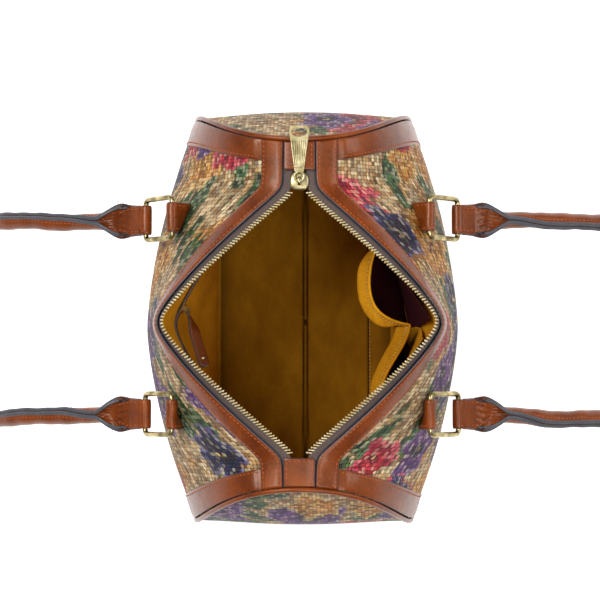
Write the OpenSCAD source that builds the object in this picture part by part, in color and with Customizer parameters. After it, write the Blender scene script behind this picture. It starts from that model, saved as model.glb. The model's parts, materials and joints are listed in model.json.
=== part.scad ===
// Soft satchel with a zip top that lies wide open, rolled handles on rectangular rings and a lining
// with pockets. Length of the zip along X with the slider at +X, front at -Y, floor at Z = 0.

/* [Body] */
// Half-length of the bag where its ends are fullest
end_reach = 160; // [140:1:185]
// How far the ends draw in from there to the top seam
top_draft = 30; // [20:1:40]
// How far the ends draw in from there to the base
foot_draft = 5; // [0:1:15]
// Height at which the ends are fullest
end_full_z = 80; // [50:1:110]
// How far the middle of an end panel dips inwards
end_dip = 3; // [0:0.5:6]
// Height of the middle of that dip
dip_z = 95; // [80:1:110]
// Radius of that dip
dip_r = 90; // [60:1:95]
// Height of the top at the ends
end_h = 195; // [185:1:205]
// How much higher the rim stands at the middle of the open mouth
mouth_rise = 17; // [8:1:30]
// Half-width of the base
base_half_w = 86; // [78:1:95]
// Half-width and height of the lower shaping point of a panel at mid-length
mid_low = [128, 60]; // [40:1:140]
// Half-width of the upper shaping point of a panel at mid-length and its depth below the rim
mid_high = [118, 57]; // [40:1:130]
// Half-width and height of the lower shaping point of a panel at its ends
end_low = [92, 90]; // [80:1:110]
// Half-width of the upper shaping point of a panel at its ends and its depth below the top
end_high = [80, 2]; // [0:1:90]
// How long the panels stay full towards the ends
fullness_power = 2.5; // [1.5:0.1:4]

/* [Mouth] */
// Half-width of the open mouth at the zip teeth
mouth_half_w = 99; // [80:1:108]
// How straight the sides of the mouth run
mouth_power = 1.125; // [1:0.025:1.5]
// How rounded the corner at mid-mouth is, as a share of the half-length
mouth_round = 0.06; // [0.03:0.01:0.15]

/* [Sheets] */
// Thickness of the woven panels
woven_t = 1.6; // [1:0.1:2.5]
// Thickness of the leather
leather_t = 1.8; // [1.2:0.1:2.4]
// Thickness of the suede lining
lining_t = 1; // [0.6:0.1:1.5]
// Thickness of the stiff board in the base
board_t = 2; // [1.5:0.1:3]
// Gap left between two layers
layer_gap = 0.25; // [0.2:0.05:0.4]
// Diameter of the piping round the ends
piping_d = 4; // [3:0.25:5]
// Width of the leather band beside the piping
band_w = 16; // [10:1:24]
// Radius of the corners of the base
base_corner = 6; // [3:1:12]

/* [Zip] */
// Distance between one tooth and the next
tooth_pitch = 2.6; // [2.2:0.1:4]
// Length of a tooth along the zip
tooth_l = 1.3; // [0.8:0.1:1.6]
// Width of a tooth across the zip
tooth_w = 3; // [2.4:0.1:3.4]
// Thickness of a tooth
tooth_t = 2; // [1.4:0.1:2.6]
// Half of the gap between the two tapes where the zip is closed
zip_gap = 2; // [1.8:0.1:2.4]
// Width of tape that shows between teeth and binding
tape_show = 10; // [8:0.5:12]
// How far the tape runs on under the binding
tape_lap = 3; // [2:0.5:5]
// Thickness of the tape
tape_t = 0.8; // [0.5:0.1:1]
// Width of the leather binding strip
binding_w = 16.5; // [12:0.5:20]
// Width of the leather patch over each end of the zip
patch_w = 23; // [20:0.5:23.5]
// Length of that patch
patch_l = 21; // [16:0.5:21]
// Radius of the corners of that patch
patch_corner = 2; // [1:0.5:4]
// Gap between that patch and the slider
slider_gap = 0.75; // [0.5:0.25:3]
// Length of closed zip between the other patch and the open mouth
stop_gap = 1.75; // [1:0.25:6]
// Length of the slider
slider_l = 14; // [12:0.5:16]
// Width of the slider
slider_w = 13.6; // [12:0.2:15]
// Thickness of each plate of the slider
slider_plate_t = 1.4; // [1:0.1:1.8]
// Room for the tapes between the plates of the slider
slider_mouth = 3; // [2.6:0.1:3.6]
// Width of the bridge on the slider
bridge_w = 2.4; // [1.8:0.1:3]
// Thickness of the bridge on the slider
bridge_t = 1.2; // [1:0.1:1.5]
// Length of the pull from its hinge to its free end
pull_l = 41; // [30:1:50]
// Width of the pull at its free end
pull_w = 15; // [12:0.5:18]
// Width of the pull at its neck
pull_neck_w = 7; // [5:0.5:8.5]
// Thickness of the pull
pull_t = 1.6; // [1.2:0.1:1.8]
// Room round the pull in the bridge
pull_room = 0.9; // [0.7:0.1:1.2]
// Diameter of the hole in the eye of the pull
eye_hole = 5; // [4.6:0.1:5.6]
// Width of metal round that hole
eye_rim = 1.8; // [1.4:0.1:2]
// Length of the slot in the free end of the pull
pull_slot_l = 7; // [4:0.5:9]
// Width of that slot
pull_slot_w = 2.6; // [2:0.2:4]
// Distance of that slot from the free end
pull_slot_inset = 6; // [4:0.5:8]
// Cut at the corners of the free end
pull_corner = 3; // [1:0.5:4]

/* [Rings and tabs] */
// Distance of each ring from mid-length
ring_x = 75; // [65:1:85]
// Room between the loop of a tab and the panel beside it
tab_stand = 7.8; // [6:0.1:12]
// Depth of the hinge line of the rings below the top
hinge_depth = 35; // [30:1:40]
// Diameter of the ring wire
wire_d = 4; // [3:0.25:4.5]
// Width inside the ring
ring_in_w = 27; // [24:0.5:32]
// Length inside the ring
ring_in_l = 30; // [22:1:36]
// Radius of the middle of the wire round the corners of the ring
ring_corner = 3.6; // [2.6:0.1:5]
// How far the rings point below level at rest
ring_drop = 48; // [35:1:55]
// Width of a tab and of the flat end of a handle
tab_w = 22.6; // [18:0.2:23]
// Thickness of leather round a ring
loop_t = 2.2; // [1.8:0.1:2.6]
// Play between ring wire and leather loop
loop_play = 0.4; // [0.3:0.05:0.6]
// Height of the sewn leaf of a tab above the hinge line
tab_rise = 14; // [10:1:20]

/* [Handles] */
// Length of a handle from ring to crown
handle_l = 229; // [200:1:260]
// Diameter of the rolled part of a handle
handle_d = 12.6; // [10:0.2:16]
// Half-distance of the two sides of a handle where they bend round
handle_spread = 80; // [70:1:90]
// Thickness of the flat ends of a handle
handle_flat_t = 3.2; // [2.6:0.1:4]
// Where the gather from flat to rolled begins
gather_from = 30; // [24:1:36]
// Where the gather from flat to rolled ends
gather_to = 54; // [44:1:70]
// How far the sides of a handle arch upwards
handle_bow = 8; // [0:1:16]
// Room left under the crown of a handle
floor_room = 0.3; // [0.1:0.1:1]

/* [Lining and pockets] */
// Room between the lining and the ends at the floor
lining_end_room = 9; // [6:1:30]
// Room between the lining and the sides at the floor
lining_side_room = 12; // [8:1:26]
// How far the lining wall bellies out
lining_belly = 5; // [0:0.5:8]
// Width of a slip pocket
pocket_w = 44; // [36:1:50]
// Distance between the middles of the two slip pockets
pocket_apart = 56; // [54:1:70]
// How far the pair of slip pockets stands from mid-length
pocket_shift = -4; // [-10:1:4]
// Foot and top edge of a slip pocket as shares of the wall
pocket_levels = [0.28, 0.66]; // [0.2:0.01:0.7]
// How far the top edge of a slip pocket gapes
pocket_gape = 22; // [12:1:28]
// Height of the zip of the inner pocket as a share of the wall
inner_zip_level = 0.74; // [0.6:0.01:0.8]
// Length of the zip of the inner pocket
inner_zip_l = 120; // [90:1:140]
// Width of the zip of the inner pocket
inner_zip_w = 7; // [5:0.5:9]
// Thickness of the zip of the inner pocket
inner_zip_t = 1.2; // [0.8:0.1:1.6]
// Where the slider of the inner pocket stands
inner_slider_x = 8; // [-10:1:20]
// Length of the plate of that slider
inner_plate_l = 8; // [6:0.5:10]
// Thickness of that plate and of its lugs
inner_plate_t = 1.2; // [0.8:0.1:1.6]
// Gap between its lugs
inner_lug_gap = 7; // [6:0.2:8]
// Length of a lug along the zip
inner_lug_l = 3.6; // [3:0.1:5]
// Diameter of the pin between its lugs
inner_pin_d = 2; // [1.6:0.1:2.6]
// Play of the leather pull on that pin and between the lugs
inner_play = 0.4; // [0.3:0.05:0.5]
// Length of the leather pull of the inner pocket
strap_l = 46; // [35:1:55]
// Width of the leather pull of the inner pocket
strap_w = 10; // [8:0.5:12]
// Thickness of the leather pull of the inner pocket
strap_t = 2.4; // [1.8:0.1:3]
// Length of the narrow neck of that pull
strap_neck = 6; // [5:0.5:9]

/* [Hidden] */
$fn = 32;

leather = [0.54, 0.27, 0.08];
weave = [0.85, 0.74, 0.56];
suede = [0.65, 0.45, 0.05];
tape_grey = [0.39, 0.33, 0.31];
brass = [0.66, 0.58, 0.32];
board_brown = [0.36, 0.28, 0.2];

// Shares of the slider's length or width at its hinge, shoulder, neck and wedge
slider_hinge = 0.45;
slider_shoulder = 0.55;
slider_neck = 0.7;
slider_wedge = 0.4;
end_top = end_reach - top_draft;
end_foot = end_reach - foot_draft;
mouth_h = end_h + mouth_rise;
seam_room = piping_d / 2 + layer_gap;
side_limit = end_top - seam_room;
mouth_front = side_limit - patch_l - slider_gap - slider_l;
mouth_back = stop_gap + patch_l - side_limit;
mouth_mid = (mouth_front + mouth_back) / 2;
mouth_half_l = (mouth_front - mouth_back) / 2;
rim_steps = 30;
rim_span = 0.6;
base_top = leather_t + layer_gap;
wire_r = wire_d / 2;
bore_r = wire_r + loop_play;
loop_r = bore_r + loop_t;
hinge_z = end_h - hinge_depth;
hinge_y = leaf_point(ring_x - tab_w / 2, hinge_z, 0)[1] + tab_stand + loop_r;
bar_y = hinge_y + (ring_in_l + wire_d) * cos(ring_drop);
bar_z = hinge_z - (ring_in_l + wire_d) * sin(ring_drop);
handle_slope = asin((bar_z - handle_d / 2 - floor_room) / handle_l);
lining_half_l = end_foot - lining_end_room;
lining_half_w = base_half_w - lining_side_room;
lining_floor = base_top + board_t + 2 * layer_gap;
pull_hinge_x = mouth_front + slider_l * slider_hinge;
tape_top = end_h - 2 * layer_gap;
slider_top = tape_top + layer_gap + slider_plate_t;
eye_half = eye_rim / 2;
bridge_in = norm([eye_half, pull_t / 2]) + pull_room;
pull_hinge_z = slider_top + bridge_in;
panel_rows = 8;
inner_loop_wall = 1;

function mix(a, b, f) = a + (b - a) * f;
function ease(f) = let (g = min(1, max(0, f))) g * g * (3 - 2 * g);
function unit(v) = v / norm(v);
function flat(rows) = [for (row = rows) each row];
function spread(from, to, count) = [for (i = [0:count]) mix(from, to, i / count)];

// Share of the full mouth width at x: 1 at its rounded corner, 0 at both ends of the open zip
function corner_ease(f) =
  (norm([f, mouth_round]) - mouth_round) / (norm([1, mouth_round]) - mouth_round);
function mouth_share(x) = max(0, 1 - pow(corner_ease((x - mouth_mid) / mouth_half_l), mouth_power));
function rim_y(x) = zip_gap + mouth_half_w * mouth_share(x);
function rim_z(x) = mix(end_h, mouth_h, mouth_share(x));
function fullness(x) = 1 - pow(min(1, abs(x) / end_top), fullness_power);

// Cross-section of the back at x: a cubic curve in half-width and height, from base to zip teeth
function section(x) = let (f = fullness(x)) [
  [base_half_w, base_top],
  mix(end_low, mid_low, f),
  mix([end_high[0], end_h - end_high[1]], [mid_high[0], mouth_h - mid_high[1]], f),
  [rim_y(x), rim_z(x)]
];
function curve(p, t) =
  pow(1 - t, 3) * p[0] + 3 * t * pow(1 - t, 2) * p[1] + 3 * t * t * (1 - t) * p[2] + pow(t, 3) * p[3];
function reach(z, top) = z > end_full_z
  ? end_reach - (end_reach - end_top) * pow((z - end_full_z) / (top - end_full_z), 2)
  : end_reach - (end_reach - end_foot) * pow((end_full_z - z) / end_full_z, 2);

// Point of the back's outer skin, with x measured at the rim and t from base (0) to teeth (1)
function skin(x, t) = let (q = curve(section(x), t)) [x / end_top * reach(q[1], rim_z(x)), q[0], q[1]];
function skin_normal(x, t) =
  unit(cross(skin(x, t + 0.004) - skin(x, t - 0.004), skin(x + 0.5, t) - skin(x - 0.5, t)));
function layer(x, t, lift) = skin(x, t) + lift * skin_normal(x, t);

// Curve value at a given distance down from the teeth, and at a given height
function from_rim(x, d) = let (p = section(x)) lookup(d, [
  for (i = 0, a = 0, q = curve(p, 1), r = q; i <= rim_steps;
       i = i + 1, r = curve(p, 1 - rim_span * i / rim_steps), a = a + norm(r - q), q = r)
    [a, 1 - rim_span * i / rim_steps]
]);
function at_height(x, z) = let (p = section(x)) lookup(z, [
  for (i = [0:rim_steps]) [curve(p, i / rim_steps)[1], i / rim_steps]
]);

// Stations along the bag, closer together round the corner of the mouth and one at each of its ends
function stations_to(limit, mouth_count, end_count) = concat(
  [for (i = [0:end_count - 1]) mix(-limit, mouth_back, i / end_count)],
  [for (i = [mouth_count:-1:1]) mix(mouth_mid, mouth_back, pow(i / mouth_count, 1.4))],
  [for (i = [0:mouth_count]) mix(mouth_mid, mouth_front, pow(i / mouth_count, 1.4))],
  [for (i = [1:end_count]) mix(mouth_front, limit, i / end_count)]
);
stations = stations_to(side_limit, 18, 4);

// Solid between an outer and an inner grid of points
module slab(outer, inner) {
  m = len(outer);
  n = len(outer[0]);
  half = m * n;
  loop = concat(
    [for (i = [0:n - 1]) i],
    [for (j = [1:m - 1]) j * n + n - 1],
    [for (i = [n - 2:-1:0]) (m - 1) * n + i],
    [for (j = [m - 2:-1:1]) j * n]
  );
  faces = concat(
    [for (j = [0:m - 2], i = [0:n - 2], k = [0, 1]) let (a = j * n + i)
      k == 0 ? [a, a + 1, a + n + 1] : [a, a + n + 1, a + n]],
    [for (j = [0:m - 2], i = [0:n - 2], k = [0, 1]) let (a = half + j * n + i)
      k == 0 ? [a + n + 1, a + 1, a] : [a + n, a + n + 1, a]],
    [for (k = [0:len(loop) - 1], h = [0, 1]) let (p = loop[k], q = loop[(k + 1) % len(loop)])
      h == 0 ? [q, p, p + half] : [q, p + half, q + half]]
  );
  polyhedron(concat(flat(outer), flat(inner)), faces);
}

// Solid between two dishes, each of closed rings of points from the rim to a middle point
module dish(outer, outer_mid, inner, inner_mid) {
  m = len(outer);
  n = len(outer[0]);
  half = m * n + 1;
  function at(j, i) = j * n + i % n;
  last = m - 1;
  faces = concat(
    [for (j = [0:m - 2], i = [0:n - 1], k = [0, 1])
      k == 0 ? [at(j + 1, i + 1), at(j, i + 1), at(j, i)] : [at(j + 1, i), at(j + 1, i + 1), at(j, i)]],
    [for (i = [0:n - 1]) [half - 1, at(last, i + 1), at(last, i)]],
    [for (j = [0:m - 2], i = [0:n - 1], k = [0, 1])
      k == 0 ? [half + at(j, i), half + at(j, i + 1), half + at(j + 1, i + 1)]
             : [half + at(j, i), half + at(j + 1, i + 1), half + at(j + 1, i)]],
    [for (i = [0:n - 1]) [half + at(last, i), half + at(last, i + 1), 2 * half - 1]],
    [for (i = [0:n - 1], k = [0, 1])
      k == 0 ? [half + at(0, i), at(0, i), at(0, i + 1)] : [half + at(0, i + 1), half + at(0, i), at(0, i + 1)]]
  );
  polyhedron(concat(flat(outer), [outer_mid], flat(inner), [inner_mid]), faces);
}

// Solid through a row of closed rings of points, flat at both ends
module tube(rings) {
  m = len(rings);
  n = len(rings[0]);
  function at(j, i) = j * n + i % n;
  faces = concat(
    [for (j = [0:m - 2], i = [0:n - 1], k = [0, 1])
      k == 0 ? [at(j, i), at(j + 1, i), at(j + 1, i + 1)] : [at(j, i), at(j + 1, i + 1), at(j, i + 1)]],
    [[for (i = [0:n - 1]) i]],
    [[for (i = [n - 1:-1:0]) at(m - 1, i)]]
  );
  polyhedron(flat(rings), faces);
}

// Sheet that follows the skin between two edge functions, lifted off it by low to high
module sheet(xs, rows, low, high) {
  slab([for (row = rows) [for (i = [0:len(xs) - 1]) layer(xs[i], row[i], high)]],
       [for (row = rows) [for (i = [0:len(xs) - 1]) layer(xs[i], row[i], low)]]);
}
function rows_between(xs, lower, upper, count) =
  [for (j = [0:count]) [for (i = [0:len(xs) - 1]) mix(lower[i], upper[i], j / count)]];

// Woven panel of the back, from the base to the edge of the zip tape
module panel() {
  top = [for (x = stations) from_rim(x, tape_show + tape_lap + 2 * layer_gap)];
  sheet(stations, rows_between(stations, [for (x = stations) 0], top, panel_rows), -woven_t, 0);
}

// Leather band beside the piping at the +X end of the back
module band() {
  xs = spread(side_limit - band_w, side_limit, 2);
  top = [for (x = xs) from_rim(x, tape_show + binding_w + 2 * layer_gap)];
  sheet(xs, rows_between(xs, [for (x = xs) 0.01], top, 14), 1.5 * layer_gap, 1.5 * layer_gap + leather_t);
}

module binding() {
  upper = [for (x = stations) from_rim(x, tape_show)];
  lower = [for (x = stations) from_rim(x, tape_show + binding_w)];
  sheet(stations, rows_between(stations, lower, upper, 2), layer_gap, layer_gap + leather_t);
}

module tape() {
  upper = [for (x = stations) from_rim(x, tooth_w * tooth_seat + 2 * layer_gap)];
  lower = [for (x = stations) from_rim(x, tape_show + tape_lap)];
  sheet(stations, rows_between(stations, lower, upper, 1), -2 * layer_gap - tape_t, -2 * layer_gap);
}

// Row of separate teeth along the open edge of the tape, seated on it by a share of their width
tooth_seat = 0.7;
rim_samples = 120;
function rim_arc() = [
  for (i = 0, a = 0, q = skin(mouth_back, 1), r = q; i <= rim_samples;
       i = i + 1, r = skin(mix(mouth_back, mouth_front, i / rim_samples), 1), a = a + norm(r - q), q = r)
    [a, mix(mouth_back, mouth_front, i / rim_samples)]
];
module teeth() {
  arc = rim_arc();
  length = arc[rim_samples][0];
  count = floor(length / tooth_pitch) - 1;
  for (i = [1:count]) {
    x = lookup(i * length / (count + 1), arc);
    edge = skin(x, 1) - (2 * layer_gap + tape_t / 2) * skin_normal(x, 1);
    up = unit(skin(x, 1) - skin(x, 0.98));
    along = unit(cross(up, skin_normal(x, 1)));
    out = cross(along, up);
    multmatrix([for (k = [0:2]) [along[k], up[k], out[k], edge[k]]])
      translate([-tooth_l / 2, -tooth_w * tooth_seat, -tooth_t / 2])
        cube([tooth_l, tooth_w, tooth_t]);
  }
}

module front_panel() { color(weave) mirror([0, 1, 0]) panel(); }
module back_panel() { color(weave) panel(); }
module front_zip_binding() { color(leather) mirror([0, 1, 0]) binding(); }
module back_zip_binding() { color(leather) binding(); }
module front_zip_tape() { color(tape_grey) mirror([0, 1, 0]) tape(); }
module back_zip_tape() { color(tape_grey) tape(); }
module front_zip_teeth() { color(brass) mirror([0, 1, 0]) teeth(); }
module back_zip_teeth() { color(brass) teeth(); }
module back_right_band() { color(leather) band(); }
module back_left_band() { color(leather) mirror([1, 0, 0]) band(); }
module front_right_band() { color(leather) mirror([0, 1, 0]) band(); }
module front_left_band() { color(leather) mirror([0, 1, 0]) mirror([1, 0, 0]) band(); }

// Plate with round corners
module rounded_plate(half_l, half_w, corner, t) {
  linear_extrude(t) {
    square([2 * (half_l - corner), 2 * half_w], center = true);
    square([2 * half_l, 2 * (half_w - corner)], center = true);
    for (x = [-1, 1], y = [-1, 1])
      translate([x * (half_l - corner), y * (half_w - corner)])
        circle(corner);
  }
}
module base_panel() { color(leather) rounded_plate(end_foot, base_half_w, base_corner, leather_t); }
module base_board() {
  color(board_brown) translate([0, 0, base_top])
    rounded_plate(lining_half_l, base_half_w - 2 * woven_t - seam_room, base_corner, board_t);
}

// Outline of an end in half-width and height, drawn in by inset, and closed along the base
end_steps = 12;
foot_steps = 4;
function end_edge(t, inset) =
  let (p = section(end_top), d = unit(curve(p, t + 0.004) - curve(p, t - 0.004)))
  curve(p, t) + inset * [-d[1], d[0]];
function end_outline(inset) = let (side = [for (i = [0:end_steps]) end_edge(i / end_steps, inset)]) concat(
  side,
  [for (i = [end_steps:-1:0]) [-side[i][0], side[i][1]]],
  [for (i = [1:foot_steps - 1]) [side[0][0] * (2 * i / foot_steps - 1), side[0][1]]]
);
end_middle = [0, dip_z];
function end_point(q, lift) =
  let (r = norm(q - end_middle) / dip_r)
  [reach(q[1], end_h) - end_dip * max(0, 1 - r * r) + lift, q[0], q[1]];
module end_panel() {
  outline = end_outline(seam_room);
  shares = [1, 0.86, 0.6, 0.3];
  dish([for (s = shares) [for (q = outline) end_point(mix(end_middle, q, s), woven_t / 2)]],
       end_point(end_middle, woven_t / 2),
       [for (s = shares) [for (q = outline) end_point(mix(end_middle, q, s), -woven_t / 2)]],
       end_point(end_middle, -woven_t / 2));
}
module right_end_panel() { color(weave) end_panel(); }
module left_end_panel() { color(weave) mirror([1, 0, 0]) end_panel(); }

// Piping: a round welt along the edge between end and sides, over the top from base to base
piping_sides = 8;
piping_steps = 16;
function seam_point(f) = let (t = 1 - abs(f), q = skin(end_top, t)) [q[0], sign(f) * q[1], q[2]];
module piping() {
  shares = spread(0.001, 0.985, piping_steps);
  fs = concat([for (i = [piping_steps:-1:0]) shares[i]], -shares);
  tube([for (f = fs) let (
      q = seam_point(f),
      d = unit(seam_point(f - 0.01) - seam_point(f + 0.01)),
      a = unit(cross(d, [1, 0, 0])),
      b = cross(d, a)
    ) [for (k = [0:piping_sides - 1]) let (g = 360 * k / piping_sides)
      q + piping_d / 2 * (cos(g) * a + sin(g) * b)]]);
}
module right_piping() { color(leather) piping(); }
module left_piping() { color(leather) mirror([1, 0, 0]) piping(); }

// Patch over one end of the zip, between the two bindings
module zip_patch(x) {
  color(leather) translate([x, 0, end_h])
    rounded_plate(patch_l / 2, patch_w / 2, patch_corner, leather_t);
}
module right_zip_patch() { zip_patch(side_limit - patch_l / 2); }
module left_zip_patch() { zip_patch(-side_limit + patch_l / 2); }

// Slider: two plates joined by a wedge between the tapes, with a bridge that holds the pull
module slider_plate() {
  shoulder = slider_l * slider_shoulder;
  half_neck = slider_w * slider_neck / 2;
  linear_extrude(slider_plate_t)
    polygon([
      [0, -slider_w / 2], [shoulder, -slider_w / 2], [slider_l, -half_neck],
      [slider_l, half_neck], [shoulder, slider_w / 2], [0, slider_w / 2]
    ]);
}
module zip_slider() {
  plate_low = slider_top - 2 * slider_plate_t - slider_mouth;
  bridge_top = pull_hinge_z + bridge_in + bridge_t;
  color(brass) {
    translate([mouth_front, 0, slider_top - slider_plate_t])
      slider_plate();
    translate([mouth_front, 0, plate_low])
      slider_plate();
    translate([mouth_front, -bridge_w / 2, plate_low])
      cube([slider_l * slider_wedge, bridge_w, slider_top - plate_low]);
    difference() {
      translate([pull_hinge_x - bridge_in - bridge_t, -bridge_w / 2, slider_top - slider_plate_t / 2])
        cube([2 * (bridge_in + bridge_t), bridge_w, bridge_top - slider_top + slider_plate_t / 2]);
      translate([pull_hinge_x - bridge_in, -bridge_w, slider_top])
        cube([2 * bridge_in, 2 * bridge_w, pull_hinge_z + bridge_in - slider_top]);
    }
  }
}

// Pull: a round eye on the bridge, a neck and a blade that widens to its slotted free end
module zip_pull() {
  eye_x = eye_hole / 2 + eye_half;
  neck_x = eye_x + eye_hole / 2 + eye_half;
  slot_x = pull_l - pull_slot_inset;
  color(brass) translate([pull_hinge_x, 0, pull_hinge_z - pull_t / 2])
    linear_extrude(pull_t) difference() {
      union() {
        translate([eye_x, 0])
          circle(eye_hole / 2 + eye_rim);
        polygon([
          [neck_x, -pull_neck_w / 2], [pull_l - pull_corner, -pull_w / 2],
          [pull_l, -pull_w / 2 + pull_corner], [pull_l, pull_w / 2 - pull_corner],
          [pull_l - pull_corner, pull_w / 2], [neck_x, pull_neck_w / 2]
        ]);
      }
      translate([eye_x, 0])
        circle(eye_hole / 2);
      for (y = [-1, 1] * (pull_slot_l - pull_slot_w) / 2)
        translate([slot_x, y])
          circle(pull_slot_w / 2);
      translate([slot_x, 0])
        square([pull_slot_w, pull_slot_l - pull_slot_w], center = true);
    }
}

// Tab: a leather loop round the inner bar of a ring, with a leaf sewn to the panel above it
function leaf_point(x, z, lift) =
  let (rim_x = x * end_top / reach(z, end_h)) layer(rim_x, at_height(rim_x, z), lift);
// Rows of the leaf as shares of its height, and where it leaves the loop as shares of the loop's radius
leaf_rows = [0.35, 0.6, 0.8, 1];
leaf_root = [0.35, 0.55];
module tab(side) {
  xs = spread(side * ring_x - tab_w / 2, side * ring_x + tab_w / 2, 2);
  rises = leaf_rows * tab_rise;
  near_y = hinge_y - loop_r * leaf_root[0];
  near_z = hinge_z + loop_r * leaf_root[1];
  color(leather) difference() {
    union() {
      slab(concat([[for (x = xs) [x, near_y + loop_t / 2, near_z + loop_t / 3]]],
                  [for (r = rises) [for (x = xs) leaf_point(x, hinge_z + r, layer_gap + leather_t)]]),
           concat([[for (x = xs) [x, near_y - loop_t / 2, near_z - loop_t / 3]]],
                  [for (r = rises) [for (x = xs) leaf_point(x, hinge_z + r, layer_gap)]]));
      translate([side * ring_x, hinge_y, hinge_z]) rotate([0, 90, 0])
        cylinder(r = loop_r, h = tab_w, center = true);
    }
    translate([side * ring_x, hinge_y, hinge_z]) rotate([0, 90, 0])
      cylinder(r = bore_r, h = tab_w + 2, center = true);
  }
}
module back_right_tab() { tab(1); }
module back_left_tab() { tab(-1); }
module front_right_tab() { mirror([0, 1, 0]) tab(1); }
module front_left_tab() { mirror([0, 1, 0]) tab(-1); }

// Ring: a rounded rectangle of round wire, its inner bar on the hinge line
module ring_flat() {
  w = ring_in_w + wire_d;
  l = ring_in_l + wire_d;
  for (y = [0, l])
    translate([0, y, 0]) rotate([0, 90, 0])
      cylinder(r = wire_r, h = w - 2 * ring_corner, center = true);
  for (x = [-1, 1] * w / 2)
    translate([x, l / 2, 0]) rotate([90, 0, 0])
      cylinder(r = wire_r, h = l - 2 * ring_corner, center = true);
  for (k = [0:3]) {
    sx = k == 0 || k == 3 ? 1 : -1;
    sy = k < 2 ? 1 : -1;
    translate([sx * (w / 2 - ring_corner), l / 2 + sy * (l / 2 - ring_corner), 0]) rotate([0, 0, 90 * k])
      rotate_extrude(angle = 90) translate([ring_corner, 0])
        circle(wire_r);
  }
}
module ring(side) {
  color(brass) translate([side * ring_x, hinge_y, hinge_z]) rotate([-ring_drop, 0, 0])
    ring_flat();
}
module back_right_ring() { ring(1); }
module back_left_ring() { ring(-1); }
module front_right_ring() { mirror([0, 1, 0]) ring(1); }
module front_left_ring() { mirror([0, 1, 0]) ring(-1); }

// Handle: flat ends looped round the outer bars, gathered into a roll that bends round at its crown
handle_sides = 10;
straight_l = handle_l - handle_spread;
start_l = bore_r + loop_t * 0.4;
side_stops = concat([start_l, mix(start_l, gather_from, 0.4), gather_from],
                    [for (i = [1:5]) mix(gather_from, gather_to, i / 5)],
                    [for (i = [1:4]) mix(gather_to, straight_l, i / 5)]);
crown_steps = 12;
function side_spread(v) = mix(ring_x, handle_spread, ease(v / straight_l));
handle_path = concat(
  [for (v = side_stops) [-side_spread(v), v, 0]],
  [for (i = [0:crown_steps]) let (g = 180 * i / crown_steps)
    [-handle_spread * cos(g), straight_l + handle_spread * sin(g), g]],
  [for (i = [len(side_stops) - 1:-1:0]) [side_spread(side_stops[i]), side_stops[i], 180]]
);
function handle_point(u, v, w) = [
  u,
  bar_y + v * cos(handle_slope) + w * sin(handle_slope),
  bar_z - v * sin(handle_slope) + w * cos(handle_slope)
];
function squared(c, power) = sign(c) * pow(abs(c), power);
module handle() {
  rings = [for (p = handle_path) let (
      roll = ease((p[1] - gather_from) / (gather_to - gather_from)),
      half_w = mix(tab_w, handle_d, roll) / 2,
      half_t = mix(handle_flat_t, handle_d, roll) / 2,
      power = mix(0.5, 1, roll),
      lift = handle_bow * sin(180 * min(1, p[1] / handle_l))
    ) [for (k = [0:handle_sides - 1]) let (
        g = 360 * k / handle_sides,
        across = half_w * squared(cos(g), power)
      ) handle_point(p[0] - across * cos(p[2]), p[1] + across * sin(p[2]), lift + half_t * squared(sin(g), power))]];
  color(leather) difference() {
    union() {
      tube(rings);
      for (side = [-1, 1])
        translate([side * ring_x, bar_y, bar_z]) rotate([0, 90, 0])
          cylinder(r = loop_r, h = tab_w, center = true);
    }
    for (side = [-1, 1])
      translate([side * ring_x, bar_y, bar_z]) rotate([0, 90, 0])
        cylinder(r = bore_r, h = tab_w + 2, center = true);
  }
}
module back_handle() { handle(); }
module front_handle() { mirror([0, 1, 0]) handle(); }

// Lining: one suede bag that hangs from the tape, with sloping walls and a flat floor
lining_limit = side_limit - 4;
lining_xs = stations_to(lining_limit, 11, 2);
function lining_top(x) = layer(x, from_rim(x, tape_show + tape_lap / 2), -3 * layer_gap - woven_t);
function lining_wall(x, level) =
  mix([x / lining_limit * lining_half_l, lining_half_w, lining_floor], lining_top(x), level)
  + [0, lining_belly * 4 * level * (1 - level), 0];
function lining_normal(x, level) =
  unit(cross(lining_wall(x + 1, level) - lining_wall(x - 1, level),
             lining_wall(x, level + 0.02) - lining_wall(x, level - 0.02)));
// Point inside the back wall of the lining, moved inwards by depth
function inside_wall(x, level, depth) = lining_wall(x, level) + depth * lining_normal(x, level);
// Closed ring of the lining at a level of its wall, or of its floor, drawn in by inset
function lining_ring(level, inset) = let (
    wall = [for (x = lining_xs) let (q = lining_wall(x, level))
      [q[0] * (1 - inset / lining_half_l), q[1] - inset, q[2] + inset * (1 - level)]],
    end = len(wall) - 1,
    first = wall[0],
    last = wall[end]
  ) concat(
    wall,
    [for (w = [0.5, 0, -0.5]) [last[0], w * last[1], last[2]]],
    [for (i = [end:-1:0]) [wall[i][0], -wall[i][1], wall[i][2]]],
    [for (w = [-0.5, 0, 0.5]) [first[0], w * first[1], first[2]]]
  );
function lining_rows(inset) = concat(
  [for (level = [1, 0.85, 0.65, 0.45, 0.25, 0]) lining_ring(level, inset)],
  [[for (q = lining_ring(0, inset)) [q[0] * 0.6, q[1] * 0.6, q[2]]]]
);
module lining() {
  color(suede)
    dish(lining_rows(0), [0, 0, lining_floor], lining_rows(lining_t), [0, 0, lining_floor + lining_t]);
}

// Depth at which things sewn to the lining start
wall_clear = lining_t + 3.6 * layer_gap;

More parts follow.
